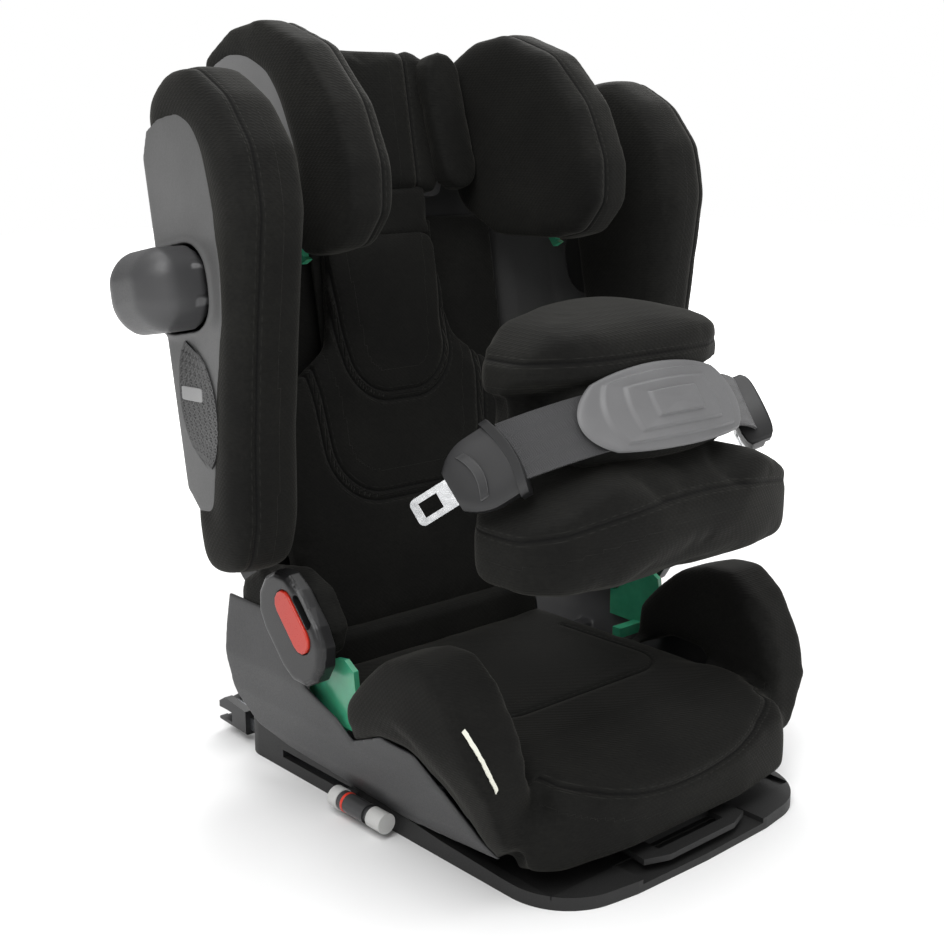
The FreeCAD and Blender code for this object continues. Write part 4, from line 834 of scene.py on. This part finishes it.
belt.data.uv_layers[0].name = "webbing"
for loop, uv in zip(belt.data.loops, belt.data.uv_layers["webbing"].data):
    uv.uv = (co[loop.vertex_index, 0] * 1.15, v[loop.vertex_index] * belt_half + 0.05)
edge_cord = np.clip((np.abs(v) - 0.90) / 0.06, 0.0, 1.0) * 0.0004
co[:, 1] -= edge_cord
put_points(belt, co)
belt.data.transform(belt_place)
cloth_wall = belt.modifiers.new("cloth", "SOLIDIFY")
cloth_wall.thickness = belt_thick
cloth_wall.offset = 0.0
bpy.ops.object.modifier_apply(modifier=cloth_wall.name)
bpy.ops.object.mode_set(mode="EDIT")
bpy.ops.mesh.select_all(action="SELECT")
bpy.ops.mesh.normals_make_consistent(inside=False)
belt = made("shield_belt", webbing)
bpy.ops.object.shade_smooth_by_angle(angle=math.radians(50))
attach(belt, "shield")
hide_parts("belt_webbing")

# the tongue's grip: a nylon moulding with a flared collar at the belt and a raised thumb rib
housing_plastic = moulded("tongue_housing_nylon", "#171718", "#1f1f20", 0.42, 1.0, 0.06)
belt_end = belt_tilt @ Vector((-0.140, 0.044, -0.003))
tongue_place = (Matrix.Translation(belt_middle + belt_end) @ belt_tilt
                @ Matrix.Rotation(math.radians(-50.0), 4, "Z") @ Matrix.Rotation(math.radians(-8.0), 4, "Y"))


def grip_part(name, low, high, cuts, shape):
    """A subdivided box shaped by a formula in the grip's own frame, then set at the belt's end."""
    piece = block(name, low, high)
    bpy.ops.object.mode_set(mode="EDIT")
    bpy.ops.mesh.select_all(action="SELECT")
    bpy.ops.mesh.subdivide(number_cuts=cuts)
    bpy.ops.object.mode_set(mode="OBJECT")
    put_points(piece, shape(points_of(piece)))
    piece.data.transform(tongue_place)
    piece.data.materials.append(housing_plastic)
    bpy.ops.object.shade_smooth()
    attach(piece, "shield")
    return piece


def grip_shape(co):
    """Broad at the belt, round at the tongue, crowned on its face."""
    run = np.clip(-co[:, 0] / 0.049, 0.0, 1.0)
    taper = 1.0 - 0.42 * np.clip((run - 0.42) / 0.58, 0.0, 1.0) ** 2.2
    edge = np.abs(co[:, 2]) / 0.0285
    face = np.sqrt(np.clip(1.0 - 0.55 * edge ** 4 - 0.5 * run ** 6, 0.05, 1.0))
    middle = 0.0015
    out = co.copy()
    out[:, 2] = co[:, 2] * taper
    out[:, 1] = middle + (co[:, 1] - middle) * face * (1.0 - 0.25 * run)
    return out


def collar_shape(co):
    """A lip that flares where the webbing enters, bowed towards the belt in its middle."""
    out = co.copy()
    edge = co[:, 2] / 0.0315
    out[:, 0] += 0.006 * (1.0 - edge ** 2) - 0.004
    flare = 1.0 + 0.16 * np.clip((co[:, 0] + 0.004) / 0.008, 0.0, 1.0)
    out[:, 1] = 0.0015 + (co[:, 1] - 0.0015) * flare * np.sqrt(np.clip(1.0 - 0.6 * edge ** 6, 0.1, 1.0))
    return out


def rib_shape(co):
    """A raised thumb rib, curved across the face and fading at both ends."""
    out = co.copy()
    edge = co[:, 2] / 0.019
    out[:, 0] += -0.006 * edge ** 2
    lift = np.clip(1.0 - edge ** 2, 0.0, 1.0)
    top = co[:, 1] < -0.007
    out[:, 1] = np.where(top, -0.0068 - 0.0034 * np.sqrt(lift), co[:, 1])
    return out


grip = grip_part("tongue_grip_left", (-0.049, -0.0085, -0.0285), (0.0, 0.0115, 0.0285), 15, grip_shape)
round_grip = grip.modifiers.new("round", "BEVEL")
round_grip.width = 0.0022
round_grip.segments = 3
round_grip.angle_limit = math.radians(40)
bpy.ops.object.modifier_apply(modifier=round_grip.name)
collar = grip_part("tongue_collar_left", (-0.003, -0.0105, -0.0315), (0.004, 0.0135, 0.0315), 15,
                   collar_shape)
rib = grip_part("tongue_rib_left", (-0.028, -0.0115, -0.019), (-0.021, 0.0, 0.019), 15, rib_shape)
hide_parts("tongue_housing_left")
for piece in (grip, collar, rib):
    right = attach(twin(piece, piece.name.replace("_left", "_right")), "shield")
    if piece is grip:
        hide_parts("tongue_housing_right")

# the steel tongue is blanked, polished and chromed
chrome, chrome_surface, chrome_place = new_material("chromed_steel", Metallic=1.0)
smear = add_node(chrome, "TexNoise", {"Vector": chrome_place, "Scale": 180.0, "Detail": 3.0})
chrome_gloss = add_node(chrome, "MapRange", {"Value": smear.outputs["Fac"], "To Min": 0.14, "To Max": 0.30})
chrome_tone = add_node(chrome, "ValToRGB", {"Fac": smear.outputs["Fac"]})
chrome_tone.color_ramp.elements[0].color = linear("#cfd1d3")
chrome_tone.color_ramp.elements[1].color = linear("#e4e5e6")
join_up(chrome, chrome_tone.outputs["Color"], chrome_surface.inputs["Base Color"])
join_up(chrome, chrome_gloss.outputs["Result"], chrome_surface.inputs["Roughness"])
paint(chrome, *both("tongue"))

# ------------------------------------------------------------------ floor, light and camera
# A pale seamless floor under a soft overhead light, as in a product studio.

clean_start()
bpy.ops.mesh.primitive_plane_add(size=14.0, location=(0, 0, 0))
floor_paint_and_glow, floor_surface, floor_place = new_material("matt_white_paint_glowing", Roughness=0.9)
floor_grain = add_node(floor_paint_and_glow, "TexNoise", {"Vector": floor_place, "Scale": 3.0, "Detail": 2.0})
floor_tone = add_node(floor_paint_and_glow, "ValToRGB", {"Fac": floor_grain.outputs["Fac"]})
floor_tone.color_ramp.elements[0].color = linear("#efefef")
floor_tone.color_ramp.elements[1].color = linear("#f4f4f4")
join_up(floor_paint_and_glow, floor_tone.outputs["Color"], floor_surface.inputs["Base Color"])
# painted light: the floor glows white away from the object, its emission rising from 0.4 m to 2.6 m
reach = add_node(floor_paint_and_glow, "VectorMath", {0: floor_place}, operation="LENGTH")
glow = add_node(floor_paint_and_glow, "MapRange", {"Value": reach.outputs["Value"], "From Min": 0.4, "From Max": 2.6,
                                          "To Min": 0.0, "To Max": 1.0}, interpolation_type="SMOOTHSTEP")
floor_surface.inputs["Emission Color"].default_value = linear("#ffffff")
join_up(floor_paint_and_glow, glow.outputs["Result"], floor_surface.inputs["Emission Strength"])
floor = made("studio_floor", floor_paint_and_glow)

world = bpy.data.worlds.new("studio")
bpy.context.scene.world = world
world.use_nodes = True
sky = world.node_tree.nodes["Background"]
sky.inputs["Color"].default_value = linear("#ffffff")
seen = world.node_tree.nodes.new("ShaderNodeLightPath")
sky_strength = world.node_tree.nodes.new("ShaderNodeMapRange")
# white to look at, softer as a light on the object
SKY_LIGHT, SKY_SEEN = 0.55, 1.0
sky_strength.inputs["To Min"].default_value = SKY_LIGHT
sky_strength.inputs["To Max"].default_value = SKY_SEEN
world.node_tree.links.new(seen.outputs["Is Camera Ray"], sky_strength.inputs["Value"])
world.node_tree.links.new(sky_strength.outputs["Result"], sky.inputs["Strength"])


def softbox(name, place, aim, watts, size):
    """A square soft light, turned to look at a point."""
    lamp = bpy.data.lights.new(name, "AREA")
    lamp.energy = watts
    lamp.size = size
    holder = bpy.data.objects.new(name, lamp)
    bpy.context.scene.collection.objects.link(holder)
    holder.location = place
    holder.rotation_euler = (Vector(aim) - Vector(place)).to_track_quat("-Z", "Y").to_euler()


softbox("key", (-1.6, -1.0, 2.2), (0, 0, 0.3), 34, 1.4)
softbox("rim", (1.4, 1.3, 1.7), (0, 0, 0.4), 20, 1.2)
softbox("top", (0.0, 0.0, 2.8), (0, 0, 0.3), 60, 3.0)

lens = bpy.data.cameras.new("camera")
lens.lens = 54.3
lens.sensor_width = 36.0
camera = bpy.data.objects.new("camera", lens)
bpy.context.scene.collection.objects.link(camera)
camera.location = (-0.8329, -0.8959, 0.5683)
camera_aim = Vector((0, 0.0390, 0.2703))
camera.rotation_euler = (camera_aim - camera.location).to_track_quat("-Z", "Y").to_euler()
bpy.context.scene.camera = camera
bpy.context.scene.view_settings.view_transform = "Standard"
